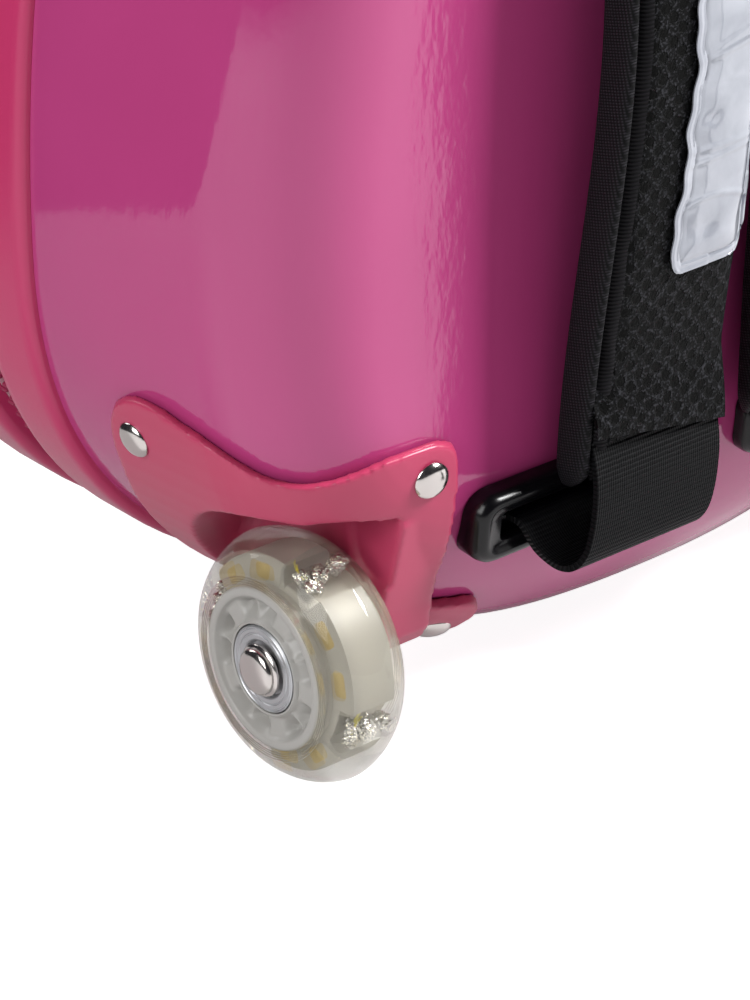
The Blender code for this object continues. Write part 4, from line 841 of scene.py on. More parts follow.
for name, turn in (("outer", 0), ("inner", math.pi)):
    ring = turned(name, RACES[::-1], WHEEL @ Matrix.Rotation(turn, 4, "X"), 96, join=True)
    smooth(ring, 30)
    pair(ring, f"{name}_ball_bearing", (BEARING,), "plated_steel", "SIDE_wheel", f"{name}_bearing")

pin = [(0.0, 0.0150), (0.0020, 0.01495), (0.0040, 0.01475), (0.0051, 0.01440), (0.0057, 0.01385),
       (0.0059, 0.01320), (0.0059, 0.01290), (0.0063, 0.01275), (0.0066, 0.01240), (0.0066, 0.01185),
       (0.0038, 0.0118), (0.0038, -0.0220), (0.0036, -0.0222), (0.0, -0.0222)]
axle = turned("left_axle_pin", pin, WHEEL, 96)
smooth(axle, 35)
pair(axle, "axle_pin", (PLATE,), "plated_steel", "case", "axle")


def plain_solid(node, look):
    """Give a hidden solid of the frame its look, where its plain shape is the real one."""
    mesh = frame["nodes"][node].data
    mesh.materials.clear()
    mesh.materials.append(look)


for hand in ("left", "right"):
    plain_solid(f"{hand}_magnet_sleeve", BEARING)


# Strap brackets
# An injection-moulded nylon bracket stands on each side of the back, with a deep slot that the strap's
# webbing comes out of. Two studs on its back go through the shell into a plate inside.
BRACKET = Matrix.Translation((-0.04498, -0.08742, 0.06011)) @ Matrix(
    ((1, 0, 0), (0, -0.0987, 0.9951), (0, -0.9951, -0.0987))).transposed().to_4x4()
STUD_AT = 0.0285

# Glass-filled nylon: near black and polished by the mould, so it mirrors lamps in small sharp points.
NYLON, tree, shader = finish("moulded_black_nylon", "#08070a", Roughness=0.2, Specular_IOR_Level=0.35)
at = add(tree, "TexCoord", {}).outputs["Object"]
flow = add(tree, "TexNoise", {"Vector": at, "Scale": 120.0, "Detail": 3.0})
add(tree, "MapRange", {"Value": flow.outputs[0], "To Min": 0.14, "To Max": 0.32},
    shader.inputs["Roughness"])
add(tree, "Bump", {"Height": flow.outputs[0], "Distance": 0.00004}, shader.inputs["Normal"])

bracket = skin("left_bracket_moulding", [oblong(*ring) for ring in (
    (0.0325, 0.0095, 0.0060, -0.0120), (0.0325, 0.0095, 0.0060, 0.0030), (0.0321, 0.0091, 0.0058, 0.0048),
    (0.0312, 0.0082, 0.0050, 0.0060), (0.0302, 0.0072, 0.0042, 0.0065), (0.0290, 0.0060, 0.0030, 0.0064),
    (0.0276, 0.0050, 0.0022, 0.0056), (0.0250, 0.0040, 0.0018, 0.0054), (0.0245, 0.0034, 0.0014, 0.0046),
    (0.0245, 0.0034, 0.0014, 0.0014))])
bracket.data.transform(BRACKET)
cut(bracket, case_block(-1, GAP))
for spot in (-STUD_AT, STUD_AT):
    stud = rod("stud", BRACKET @ Vector((spot, 0, -0.0105)), BRACKET @ Vector((spot, 0, 0.0030)), 0.002, 32)
    cut(bracket, stud, "UNION")
smooth(bracket, 40)
pair(bracket, "bracket_moulding", (NYLON,), "black_plastic", "case", "strap_bracket")
for hand in ("left", "right"):
    plain_solid(f"{hand}_strap_backing", NYLON)


# Shoulder pads
# Each shoulder strap is a foam core in black spacer mesh, sewn flat between two bound edges. It is about
# 48 mm wide and 10 mm thick, swells between its seams, and bows off the case's back.
PAD_LOW = 0.066
PAD_HIGH = 0.292
PAD_HALF = 0.0235
PAD_X = 0.0315
PAD_LEAN = 0.0065
LEAN_ENDS = 0.6
PAD_Y = -0.09945
PAD_BOW = 0.006
MESH_LOW_HALF = 0.0253
MESH_NARROWING = 0.0023
NARROWING_FROM = 0.100
NARROWING_OVER = 0.080


def pad_middle(height):
    """Middle of the left pad at a height, in x and y."""
    share = (height - PAD_LOW) / (PAD_HIGH - PAD_LOW)
    lean = np.clip(share / LEAN_ENDS, 0.0, 1.0)
    lean = lean * lean * (3 - 2 * lean)
    bow = math.sin(math.pi * min(max(share, 0), 1)) ** 2
    return -(PAD_X - PAD_LEAN * lean), PAD_Y - PAD_BOW * bow


def mesh_edge(height):
    """Half width of the pad's mesh on its inner side, which is wider low down."""
    rise = np.clip((height - NARROWING_FROM) / NARROWING_OVER, 0.0, 1.0)
    return MESH_LOW_HALF - MESH_NARROWING * rise * rise * (3 - 2 * rise)


def round_bar(half_wide, half_deep, count=36, power=4.0):
    """Points round a soft-cornered bar's section, in x and y."""
    turn = np.linspace(0, math.tau, count, endpoint=False)
    across, out = np.cos(turn), np.sin(turn)
    return np.column_stack([half_wide * np.sign(across) * np.abs(across) ** (2 / power),
                            half_deep * np.sign(out) * np.abs(out) ** (2 / power)])


def stuffed(item, voxel, cap):
    """Blow a closed piece up as cloth with air in it, letting no point go further than cap."""
    modify(item, "REMESH", mode="VOXEL", voxel_size=voxel, adaptivity=0.0)
    # The cloth's pressure and steps, which a look at shape alone goes without
    start = np.array([vertex.co for vertex in item.data.vertices])
    cloth = item.modifiers.new("air", "CLOTH")
    cloth.settings.use_pressure = True
    cloth.settings.uniform_pressure_force = 4.0
    cloth.settings.effector_weights.gravity = 0.0
    cloth.point_cache.frame_end = 20
    for step in range(1, 21):
        bpy.context.scene.frame_set(step)
    only(item)
    bpy.ops.object.modifier_apply(modifier=cloth.name)
    bpy.context.scene.frame_set(1)
    moved = np.array([vertex.co for vertex in item.data.vertices]) - start
    length = np.linalg.norm(moved, axis=1)[:, None]
    moved *= np.minimum(length, cap) / np.maximum(length, 1e-9)
    item.data.vertices.foreach_set("co", (start + moved).ravel())
    modify(item, "SUBSURF", levels=1, render_levels=1)
    only(item)
    bpy.ops.object.shade_smooth()


def ribbon(name, rows, thickness):
    """A strip of cloth from rows of points across it. Its UV map holds millimetres across and along it."""
    rows = np.asarray(rows, float)
    count, across = rows.shape[:2]
    bpy.ops.object.select_all(action="DESELECT")
    bpy.ops.mesh.primitive_grid_add(x_subdivisions=across - 1, y_subdivisions=count - 1, size=1)
    item = bpy.context.object
    item.name = name
    middle = rows[:, across // 2]
    long = np.linalg.norm(np.diff(middle, axis=0), axis=1).sum() * 1000
    wide = np.linalg.norm(np.diff(rows[count // 2], axis=0), axis=1).sum() * 1000
    item.data.vertices.foreach_set("co", rows.ravel())
    for corner in item.data.uv_layers[0].uv:
        corner.vector = (corner.vector.x * wide, corner.vector.y * long)
    modify(item, "SOLIDIFY", thickness=thickness, offset=0.0)
    edit(item, everywhere, ("normals_make_consistent", {"inside": False}))
    smooth(item, 40)
    return item


# Spacer mesh: a knit of wiry black yarn over dark foam, in slanted rows with an open hole every 4 mm.
MESH, tree, shader = finish("black_spacer_mesh", "#08080a", Roughness=0.5, Specular_IOR_Level=0.08)
at = add(tree, "TexCoord", {}).outputs["Object"]
flat = add(tree, "Mapping", {"Vector": at, "Rotation": (math.pi / 2, 0.0, 0.0)})
turn = add(tree, "Mapping", {"Vector": flat.outputs[0], "Rotation": (0.0, 0.0, math.pi / 4)})
wire = add(tree, "TexNoise", {"Vector": at, "Scale": 1500.0, "Detail": 3.0})
frayed = add(tree, "VectorMath", {0: wire.outputs[1], 1: (0.0018, 0.0018, 0.0018), 2: turn.outputs[0]},
             operation="MULTIPLY_ADD")
cells = add(tree, "TexVoronoi", {"Vector": frayed.outputs[0], "Scale": 245.0, "Randomness": 0.15},
            voronoi_dimensions="2D")
edge = add(tree, "MapRange", {"Value": cells.outputs["Distance"], "From Min": 0.27, "From Max": 0.42},
           interpolation_type="SMOOTHSTEP")
# Sparse lighter strands picked out of the wire noise are painted glints on the wiry black yarn.
glint_strand = add(tree, "MapRange", {"Value": wire.outputs[0], "From Min": 0.50, "From Max": 0.68})
yarn = add(tree, "MixRGB", {"Fac": glint_strand.outputs[0], "Color1": linear("#060607"),
                           "Color2": linear("#333337")})
# The holes take a near-black colour, darker than the yarn: the dark foam under them, with painted shade down
# in them as well.
add(tree, "MixRGB", {"Fac": edge.outputs[0], "Color1": linear("#010101"), "Color2": yarn.outputs[0]},
    shader.inputs["Base Color"])
both = add(tree, "Math", {0: wire.outputs[0], 1: 0.25, 2: edge.outputs[0]}, operation="MULTIPLY_ADD")
add(tree, "Bump", {"Height": both.outputs[0], "Distance": 0.0008}, shader.inputs["Normal"])

FOAM_HALF = 0.0215
FOAM_DEEP = 0.0040
FOAM_VOXEL = 0.0026
PAD_PUFF = 0.0012
rings = []
for share in np.linspace(0, 1, 46):
    height = PAD_LOW + 0.0012 + (PAD_HIGH - PAD_LOW - 0.0024) * share
    x, y = pad_middle(height)
    low = min(1.0, 0.55 + 0.45 * math.sin(min(1.0, share / 0.045) * math.pi / 2))
    high = min(1.0, 0.45 + 0.55 * math.sin(min(1.0, (1 - share) / 0.06) * math.pi / 2))
    ring = round_bar(FOAM_HALF * (0.5 + 0.5 * low), FOAM_DEEP * low * high)
    ring[:, 0] *= np.where(ring[:, 0] > 0, mesh_edge(height) / FOAM_HALF, 1.0)
    rings.append(np.column_stack([ring[:, 0] + x, ring[:, 1] + y, np.full(len(ring), height)]))
core = skin("left_pad_core", rings)
stuffed(core, FOAM_VOXEL, PAD_PUFF)
pad_face = BVHTree.FromPolygons([vertex.co for vertex in core.data.vertices],
                                [face.vertices for face in core.data.polygons])
WELL_BEHIND = -0.2
PAD_BEHIND = -0.105


def on_pad(x, z, lift):
    """The point just off the pad's outer face there, or off its edge where it is narrower."""
    hit = pad_face.ray_cast(Vector((x, WELL_BEHIND, z)), Vector((0, 1, 0)))[0]
    if hit is None:
        hit = pad_face.find_nearest(Vector((x, PAD_BEHIND, z)))[0]
    return x, hit.y - lift, z


for item in pair(core, "pad_core", (MESH,), "spacer_mesh", "case", "shoulder_pad"):
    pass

# Binding tape: a dense black grosgrain folded over each edge, its weft showing as short rising dashes.
BINDING, tree, shader = finish("black_grosgrain_binding", "#0b0a0c", Roughness=0.55, Specular_IOR_Level=0.1)
at = add(tree, "TexCoord", {}).outputs["Object"]
rise = add(tree, "Mapping", {"Vector": at, "Rotation": (math.radians(14), 0.0, 0.0)})
weft = add(tree, "TexWave", {"Vector": rise.outputs[0], "Scale": 450.0, "Distortion": 0.5, "Detail": 1.0},
           bands_direction="Z")
warp = add(tree, "TexWave", {"Vector": rise.outputs[0], "Scale": 330.0, "Distortion": 0.4},
           bands_direction="Y")
dash = add(tree, "Math", {0: weft.outputs[1], 1: warp.outputs[1]}, operation="MULTIPLY")
add(tree, "MixRGB", {"Fac": dash.outputs[0], "Color1": linear("#050506"), "Color2": linear("#2b292e")},
    shader.inputs["Base Color"])
add(tree, "Bump", {"Height": dash.outputs[0], "Distance": 0.00015}, shader.inputs["Normal"])

BINDING_HALF = 0.0017
BINDING_DEEP = {"outer": 0.0050, "inner": 0.0028}
BINDING_OUT = 0.0050
for word in ("outer", "inner"):
    rings = []
    for share in np.linspace(0, 1, 90):
        height = PAD_LOW + 0.0006 + (PAD_HIGH - PAD_LOW - 0.0016) * share
        x, y = pad_middle(height)
        ends = min(1.0, share / 0.030, (1 - share) / 0.012)
        size = 0.35 + 0.65 * math.sin(ends * math.pi / 2)
        deep = BINDING_DEEP[word] * size
        ring = round_bar(BINDING_HALF * size, deep, 28, 3.0)
        inset = 0.0022 * (1 - size)
        y += BINDING_OUT - deep
        x += inset - PAD_HALF + BINDING_HALF if word == "outer" else mesh_edge(height) - 0.0014 - inset
        rings.append(np.column_stack([ring[:, 0] + x, ring[:, 1] + y, np.full(len(ring), height)]))
    bar = skin(f"left_{word}_binding", rings)
    smooth(bar, 60)
    pair(bar, f"{word}_binding", (BINDING,), "black_webbing", "case")

# Ladder seam: a strip of cloth sewn down beside the binding, with a thick black thread every millimetre.
LADDER, tree, shader = finish("ladder_stitched_seam", "#08080a", Roughness=0.55, Specular_IOR_Level=0.1)
spot = add(tree, "TexCoord", {}).outputs["UV"]
rung = add(tree, "TexWave", {"Vector": spot, "Scale": 0.314, "Distortion": 0.3}, bands_direction="Y",
           wave_profile="TRI")
add(tree, "MixRGB", {"Fac": rung.outputs[1], "Color1": linear("#050506"), "Color2": linear("#1b191d")},
    shader.inputs["Base Color"])
add(tree, "Bump", {"Height": rung.outputs[1], "Distance": 0.0002}, shader.inputs["Normal"])
LADDER_WIDTH = 0.0034
LADDER_INSET = 0.0040
rows = []
for height in np.linspace(PAD_LOW + 0.004, PAD_HIGH - 0.006, 130):
    start = pad_middle(height)[0] - (PAD_HALF - LADDER_INSET)
    rows.append([on_pad(start + across, height, 0.0003 + 0.0004 * math.sin(across / LADDER_WIDTH * math.pi))
                 for across in np.linspace(0, LADDER_WIDTH, 7)])
seam = ribbon("left_ladder_seam", rows, 0.0005)
pair(seam, "ladder_seam", (LADDER,), "black_webbing", "case")


# Strap webbing
# Woven polyester webbing, 40 mm wide and 1.6 mm thick, leaves the bracket's slot, hangs in a short loop
# and is sewn to the pad's outer face, its end tucked under a hem of the mesh.

# Webbing: black, with a rib across it every 1.2 mm and a fine twill between.
WEB, tree, shader = finish("ribbed_black_webbing", "#09090b", Roughness=0.5, Specular_IOR_Level=0.08)
spot = add(tree, "TexCoord", {}).outputs["UV"]
rib = add(tree, "TexWave", {"Vector": spot, "Scale": 0.262, "Distortion": 0.35, "Detail": 1.0},
          bands_direction="Y")
cord = add(tree, "TexWave", {"Vector": spot, "Scale": 0.44, "Distortion": 0.5}, bands_direction="X")
knit = add(tree, "Math", {0: cord.outputs[1], 1: 0.45, 2: rib.outputs[1]}, operation="MULTIPLY_ADD")
add(tree, "MixRGB", {"Fac": knit.outputs[0], "Color1": linear("#050506"), "Color2": linear("#111113")},
    shader.inputs["Base Color"])
add(tree, "Bump", {"Height": knit.outputs[0], "Distance": 0.0003}, shader.inputs["Normal"])


def curve(points, count):
    """Points evenly spaced along a smooth curve through these ones."""
    points = np.asarray(points, float)
    ends = np.vstack([2 * points[0] - points[1], points, 2 * points[-1] - points[-2]])
    fine = []
    for before, start, end, after in zip(ends, ends[1:], ends[2:], ends[3:]):
        for share in np.linspace(0, 1, 16, endpoint=False):
            fine.append(0.5 * (2 * start + (end - before) * share
                               + (2 * before - 5 * start + 4 * end - after) * share ** 2
                               + (3 * start - before - 3 * end + after) * share ** 3))
    fine = np.array(fine + [points[-1]])
    run = np.concatenate([[0.0], np.cumsum(np.linalg.norm(np.diff(fine, axis=0), axis=1))])
    wanted = np.linspace(0, run[-1], count)
    return np.column_stack([np.interp(wanted, run, fine[:, part]) for part in range(3)]), run[-1]


WEB_X = -0.0450
WEB_HALF = 0.0202
WEB_THICK = 0.0016
route = [BRACKET @ Vector((0, 0, 0.0020)), BRACKET @ Vector((0, 0, 0.0068))]
route = [(0.0, spot.y, spot.z) for spot in route]
route += [(0.0020, -0.09735, 0.0536), (0.0045, -0.10015, 0.0500), (0.0065, -0.10265, 0.0487),
          (0.0085, -0.10475, 0.0494), (0.0105, -0.1061, 0.0525), (0.0120, -0.1065, 0.0580),
          (0.0130, -0.1064, 0.0650), (0.0133, -0.1060, 0.0705), (0.0135, -0.1048, 0.0760),
          (0.0136, -0.1028, 0.0810)]
middle, length = curve([(WEB_X + inward, y, z) for inward, y, z in route], 120)
rows = [[(x + across, y, z) for across in np.linspace(-WEB_HALF, WEB_HALF, 24)] for x, y, z in middle]
web = ribbon("left_strap_web", rows, WEB_THICK)
webs = pair(web, "strap_web", (WEB,), "black_webbing", "case", "lower_webbing")

# The hem: a doubled edge of the mesh, slanted along the webbing, that runs out into the pad above
HEM_LOW = 0.0790
HEM_SLANT = 0.0036
HEM_HIGH = 0.0990
HEM_HALF = 0.0213
HEM_THICK = 0.0009
HEM_OUT = 0.0070
rows = []
for share in np.linspace(0, 1, 17):
    row = []
    for side in np.linspace(-1, 1, 34):
        low = HEM_LOW - HEM_SLANT * side
        height = low + (HEM_HIGH - low) * share
        x, y = pad_middle(height)
        top = share * share * (3 - 2 * share)
        wrap = on_pad(x + side * HEM_HALF, height, -HEM_THICK)[1]
        row.append((x + side * HEM_HALF, (y - HEM_OUT) * (1 - top) + max(wrap, y - HEM_OUT) * top, height))
    rows.append(row)
hem = ribbon("left_mesh_hem", rows, HEM_THICK)
pair(hem, "mesh_hem", (MESH,), "spacer_mesh", "case")


# Reflective strips
# Silver reflective film on cloth, 25 mm wide, is welded along a line inside its edge to each pad's outer
# face. It puckers where the strap bends.

# Reflective film: a metal-backed bead layer under clear plastic, lavender grey and half mirror.
MIRROR, tree, shader = finish("silver_reflective_film", "#a9acb6", Metallic=0.35, Roughness=0.3,
                              Coat_Weight=1.0, Coat_Roughness=0.05)
at = add(tree, "TexCoord", {}).outputs["Object"]
beads = add(tree, "TexNoise", {"Vector": at, "Scale": 420.0, "Detail": 3.0})
sheen = add(tree, "TexNoise", {"Vector": at, "Scale": 85.0, "Detail": 3.0, "Distortion": 0.6})
# The colour clouds lighter and darker with the sheen noise: painted sheen over the film's own lavender grey.
add(tree, "MixRGB", {"Fac": sheen.outputs[0], "Color1": linear("#878b97"), "Color2": linear("#c3c6cf")},
    shader.inputs["Base Color"])
add(tree, "Bump", {"Height": beads.outputs[0], "Distance": 0.00005}, shader.inputs["Normal"])

STRIP_LOW = 0.119
STRIP_HIGH = 0.246
STRIP_ALONG = 0.0097
STRIP_HALF = 0.0125
STRIP_CORNERS = (0.0028, 0.0058)
STRIP_OUT = 0.0007
WELD_INSET = 0.0027
PILLOW = 0.00055
# Each fold across the strip: its depth, height, slant, hollow and width
FOLDS = [(0.00040, 0.174, 0.0020, 0.0, 0.0008), (0.00022, 0.1765, 0.0035, 0.0, 0.0006),
         (0.00030, 0.1500, 0.0, 0.0, 0.0007), (0.00032, 0.1476, 0.0012, 0.0, 0.0007),
         (0.00034, 0.1375, 0.0, -0.004, 0.0006), (0.00025, 0.205, -0.0015, 0.0, 0.0010)]
# Each dent: its depth, its height and half height, and its place and half width as shares of the strip's
DENTS = [(0.00040, 0.1575, 0.0018, -0.45, 0.16), (0.00050, 0.1295, 0.0030, -0.25, 0.40),
         (0.00030, 0.190, 0.0060, 0.1, 0.35)]


def bump(away, width):
    """A smooth rise that is 1 at no distance and fades over a width."""
    return math.exp(-(away / width) ** 2)


rows = []
for height in np.linspace(STRIP_LOW, STRIP_HIGH, 260):
    x = pad_middle(height)[0] + STRIP_ALONG
    ends = min(height - STRIP_LOW, STRIP_HIGH - height)
    sway = 0.0006 * math.sin(height * 250) + 0.0004 * math.sin(height * 610 + 1)
    widening = 0.0016 * np.clip((0.18 - height) / 0.05, 0, 1)
    row = []
    for share in np.linspace(-1, 1, 52):
        corner = STRIP_CORNERS[0] if share < 0 else STRIP_CORNERS[1]
        trim = corner - math.sqrt(max(0.0, corner ** 2 - max(0.0, corner - ends) ** 2))
        half = STRIP_HALF - trim + (sway if share < 0 else 0.4 * sway + widening)
        inside = min((1 - abs(share)) * half, ends + 0.3 * trim)
        lift = STRIP_OUT + PILLOW * min(1.0, max(0.0, (inside - WELD_INSET) / 0.004))
        lift += 0.00016 * bump(inside - 0.0020, 0.00030) - 0.00030 * bump(inside - WELD_INSET, 0.00035)
        lift += 0.00030 * bump(inside - 0.0006, 0.0006)
        for depth, level, slant, hollow, width in FOLDS:
            line = level + slant * share + hollow * (share + 0.2) ** 2
            lift += depth * bump(height - line, width) * (1 - share ** 4)
        for depth, level, tall, across, wide in DENTS:
            lift -= depth * bump(height - level, tall) * bump(share - across, wide)
        row.append(on_pad(x + share * half, height, lift))
    rows.append(row)
film = ribbon("left_film_strip", rows, 0.0006)
pair(film, "film_strip", (MIRROR,), "reflective_film", "case", "reflective_strip")


# Strap yoke
# Both straps start from a sewn panel high on the back: webbing cloth over thin foam, held to the shell by
# a seam all round. A short tab of webbing runs from under it on to the top of each pad.
YOKE_Z = 0.3115
YOKE_PUFF = 0.0010
yoke = skin("sewn_yoke", [oblong(*ring) for ring in (
    (0.0510, 0.0180, 0.0070, -0.0200), (0.0510, 0.0180, 0.0070, 0.0020), (0.0505, 0.0175, 0.0068, 0.0038),
    (0.0490, 0.0160, 0.0060, 0.0052), (0.0440, 0.0120, 0.0045, 0.0060), (0.0350, 0.0060, 0.0030, 0.0064))])
yoke.data.transform(placed((0, ZIP_Y - BACK_Y, YOKE_Z), (0, -1, 0)))
cut(yoke, case_block(-1, GAP))
stuffed(yoke, FOAM_VOXEL, YOKE_PUFF)
fit(yoke, (WEB,), "black_webbing", "case", "strap_yoke")

TAB_X = -0.0250
TAB_HALF = 0.0170
TAB_ON_PAD = 0.284
TAB_LIFT = 0.0012
rows = []
route = [(-0.0945, 0.2985), (-0.0975, 0.2950), (-0.1020, 0.2910), (-0.1040, 0.2860), (-0.1048, 0.2760),
         (-0.1052, 0.2680)]
middle, length = curve([(TAB_X, y, z) for y, z in route], 50)
for x, y, z in middle:
    rows.append([(x + across, on_pad(x + across, z, TAB_LIFT)[1] if z < TAB_ON_PAD else y, z)
                 for across in np.linspace(-TAB_HALF, TAB_HALF, 24)])
tab = ribbon("left_yoke_tab", rows, WEB_THICK)
for item, hand in zip(pair(tab, "yoke_tab", (WEB,), "black_webbing", "case"), ("left", "right")):
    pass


# Pull handle
# Two-stage telescopic handle: drawn aluminium tubes run down inside the back from a moulded bezel to a
# moulded base, and carry a rubber-faced grip. The button in it frees the spring pins in the tubes.
BEZEL_TOP = 0.3745
BEZEL_HALF = (0.047, 0.013, 0.026)
TRAY_HALF = (0.0425, 0.0100, 0.0030)
GRIP_LOW = 0.3757
GRIP_HIGH = 0.3967
GRIP_HALF = (0.050, 0.0115, 0.0105)

# Anodised aluminium: satin silver, with fine lines along the tube from drawing.
ALUMINIUM, tree, shader = finish("anodised_aluminium", "#b9babd", Metallic=1.0, Roughness=0.32)
at = add(tree, "TexCoord", {}).outputs["Object"]
drawn = add(tree, "Mapping", {"Vector": at, "Scale": (1.0, 1.0, 0.02)})
lines = add(tree, "TexNoise", {"Vector": drawn.outputs[0], "Scale": 1500.0, "Detail": 2.0})
add(tree, "MapRange", {"Value": lines.outputs[0], "To Min": 0.24, "To Max": 0.42},
    shader.inputs["Roughness"])
add(tree, "Bump", {"Height": lines.outputs[0], "Distance": 0.00001}, shader.inputs["Normal"])

# Moulded rubber: soft black, matt, with a very fine spark-eroded grain.
RUBBER, tree, shader = finish("soft_black_rubber", "#1a1a1b", Roughness=0.7)
at = add(tree, "TexCoord", {}).outputs["Object"]
grit = add(tree, "TexNoise", {"Vector": at, "Scale": 1800.0, "Detail": 2.0})
add(tree, "Bump", {"Height": grit.outputs[0], "Distance": 0.00005}, shader.inputs["Normal"])

bezel = block("bezel_moulding", (0, TUBE_Y, BEZEL_TOP - BEZEL_HALF[2]), BEZEL_HALF, 0.005, 6)
cut(bezel, case_block(-1, GAP))
cut(bezel, block("tray", (0, TUBE_Y, BEZEL_TOP + 0.0022), TRAY_HALF, 0.0012))
for hand in (-1, 1):
    cut(bezel, tube_hole(hand))
smooth(bezel)
fit(bezel, (NYLON,), "black_plastic", "case", "handle_bezel")
plain_solid("handle_base", NYLON)

LEFT_TUBE = Matrix.Translation((-TUBE_X, TUBE_Y, 0))
TUBE_WALL = 0.001
TUBE_EDGE = 0.0002
# Each stage's radius, its lower and upper end, and its body
STAGES = {"outer": (TUBE_RADIUS, 0.0415, 0.3732, "case"),
          "middle": (0.0067, 0.0495, 0.3740, "handle_middle"),
          "inner": (0.0054, 0.0575, 0.3877, "handle_upper")}
for stage, (radius, low, high, body) in STAGES.items():
    inner = radius - TUBE_WALL
    profile = [(inner + TUBE_EDGE, high), (radius - TUBE_EDGE, high), (radius, high - TUBE_EDGE),
               (radius, low + TUBE_EDGE), (radius - TUBE_EDGE, low), (inner + TUBE_EDGE, low),
               (inner, low + TUBE_EDGE), (inner, high - TUBE_EDGE)]
    tube = turned(f"left_{stage}_drawn_tube", profile, LEFT_TUBE, 64, join=True)
    smooth(tube, 40)
    pair(tube, f"{stage}_drawn_tube", (ALUMINIUM,), "aluminium_tube", body, f"{stage}_tube")

GROOVE_PITCH = 0.0068
GROOVE_Y = TUBE_Y - 0.0135
SOCKET_TOP = GRIP_LOW + 0.0123
SOCKET_RADIUS = 0.0057
grip = block("grip_moulding", (0, TUBE_Y, (GRIP_LOW + GRIP_HIGH) / 2), GRIP_HALF, 0.007, 8)
for step in (-5, -4, -3, -2, 2, 3, 4, 5):
    cut(grip, rod("groove", (step * GROOVE_PITCH, GROOVE_Y, GRIP_LOW + 0.002),
                  (step * GROOVE_PITCH, GROOVE_Y, GRIP_HIGH - 0.002), 0.0026, 24))
cut(grip, block("pocket", (0, TUBE_Y, GRIP_HIGH), (0.0133, 0.0063, 0.0045), 0.0012))
for hand in (-1, 1):
    cut(grip, rod("socket", (TUBE_X * hand, TUBE_Y, 0.37), (TUBE_X * hand, TUBE_Y, SOCKET_TOP),
                  SOCKET_RADIUS))
smooth(grip, 40)
fit(grip, (RUBBER,), "black_plastic", "handle_upper", "handle_grip")

button = skin("button_moulding", [oblong(*ring) for ring in (
    (0.0126, 0.0056, 0.0014, 0.3955), (0.0130, 0.0060, 0.0018, 0.3958), (0.0130, 0.0060, 0.0018, 0.3985),
    (0.0127, 0.0057, 0.0016, 0.3993), (0.0120, 0.0050, 0.0013, 0.3997))])
button.data.transform(Matrix.Translation((0, TUBE_Y, 0)))
for step in range(-2, 3):
    cut(button, block("groove", (step * 0.0038, TUBE_Y, 0.3998), (0.0006, 0.0042, 0.0004), 0.0001, 1))
smooth(button)
fit(button, (RUBBER,), "black_rubber", "release_button", "release_button")


# Carry handle
# A bail of rubber moulded over a stiff core stands on the top and tips over on two pins. The pins snap
# into small moulded posts that are screwed to the shell from inside.
CARRY_Y = ZIP_Y - 0.052
CARRY_X = 0.040
CARRY_Z = 0.371
BAIL_STEPS = 90
BAIL_RISE = 0.024
path = []
for turn in np.linspace(0, math.pi, 61):
    across = -math.copysign(abs(math.cos(turn)) ** 0.7, math.cos(turn)) * CARRY_X
    path.append((across, CARRY_Y, CARRY_Z + BAIL_RISE * max(0.0, math.sin(turn)) ** 0.8))
path = curve(path, BAIL_STEPS)[0]
rings = []
for step, spot in enumerate(path):
    ahead = path[min(step + 1, BAIL_STEPS - 1)] - path[max(step - 1, 0)]
    ahead /= np.linalg.norm(ahead)
    out = np.array([-ahead[2], 0.0, ahead[0]])
    middle = 1 - min(1.0, abs(step - (BAIL_STEPS - 1) / 2) / 26)
    ridge = 0.00025 * math.cos(step * 1.4) if middle > 0 else 0.0
    ring = [spot + out * (0.0050 + ridge) * math.cos(turn)
            + np.array([0, 1, 0]) * (0.0052 + 0.0006 * middle + ridge) * math.sin(turn)
            for turn in np.linspace(0, math.tau, 32, endpoint=False)]
    rings.append(ring)
bail = skin("carry_bail", rings)
for hand in (-1, 1):
    cut(bail, rod("pin", (hand * (CARRY_X + 0.0010), CARRY_Y, CARRY_Z),
                  (hand * (CARRY_X + 0.0105), CARRY_Y, CARRY_Z), 0.0025, 32), "UNION")
smooth(bail, 50)
fit(bail, (RUBBER,), "black_plastic", "carry_handle", "carry_handle")

POST_AT = (-0.0521, CARRY_Y, 0.3625)
POST_HALF = (0.006, 0.010, 0.014)
post = block("left_carry_post", POST_AT, POST_HALF, 0.0045, 6)
cut(post, case_block(-1, GAP))
cut(post, rod("bore", (-CARRY_X, CARRY_Y, CARRY_Z), (-CARRY_X - 0.0108, CARRY_Y, CARRY_Z), 0.0028, 32))
smooth(post)
pair(post, "carry_post", (NYLON,), "black_plastic", "case", "carry_mount")


# Front feet
# Two turned rubber feet under the lid keep the case level on its wheels. Each is cut to the shell's curve
# and is a press fit on a boss of it.
FOOT_AT = (-0.044, ZIP_Y + 0.052, 0)
FOOT_SECTION = [(0.0, 0.05), (0.0110, 0.05), (0.0110, 0.0040), (0.0107, 0.0028), (0.0098, 0.0008),
                (0.0090, 0.0), (0.0060, 0.0), (0.0054, 0.0004), (0.0, 0.0004)]
foot = turned("left_rubber_foot", FOOT_SECTION, Matrix.Translation(FOOT_AT), 72)
cut(foot, case_block(1, GAP))
smooth(foot)
pair(foot, "rubber_foot", (RUBBER,), "black_rubber", "lid", "front_foot")


# Lid pocket
# A panel of lining cloth is sewn round the lid's edge inside and left open along its top, where a woven
# elastic gathers it. It keeps small things in the lid.
POCKET_LOW = BOTTOM_Z + 0.0065
POCKET_TOP = 0.262
POCKET_Y = ZIP_Y + 0.0080
POCKET_INSET = 0.0053
GATHER = 0.0011
GATHER_TURNS = 46
points, away = outline(720)
inner = points - away * POCKET_INSET


def pocket_half(height):
    """Half the pocket's width at a height."""
    return np.max(np.where(np.abs(inner[:, 1] - height) < 0.0016, np.abs(inner[:, 0]), 0.0))


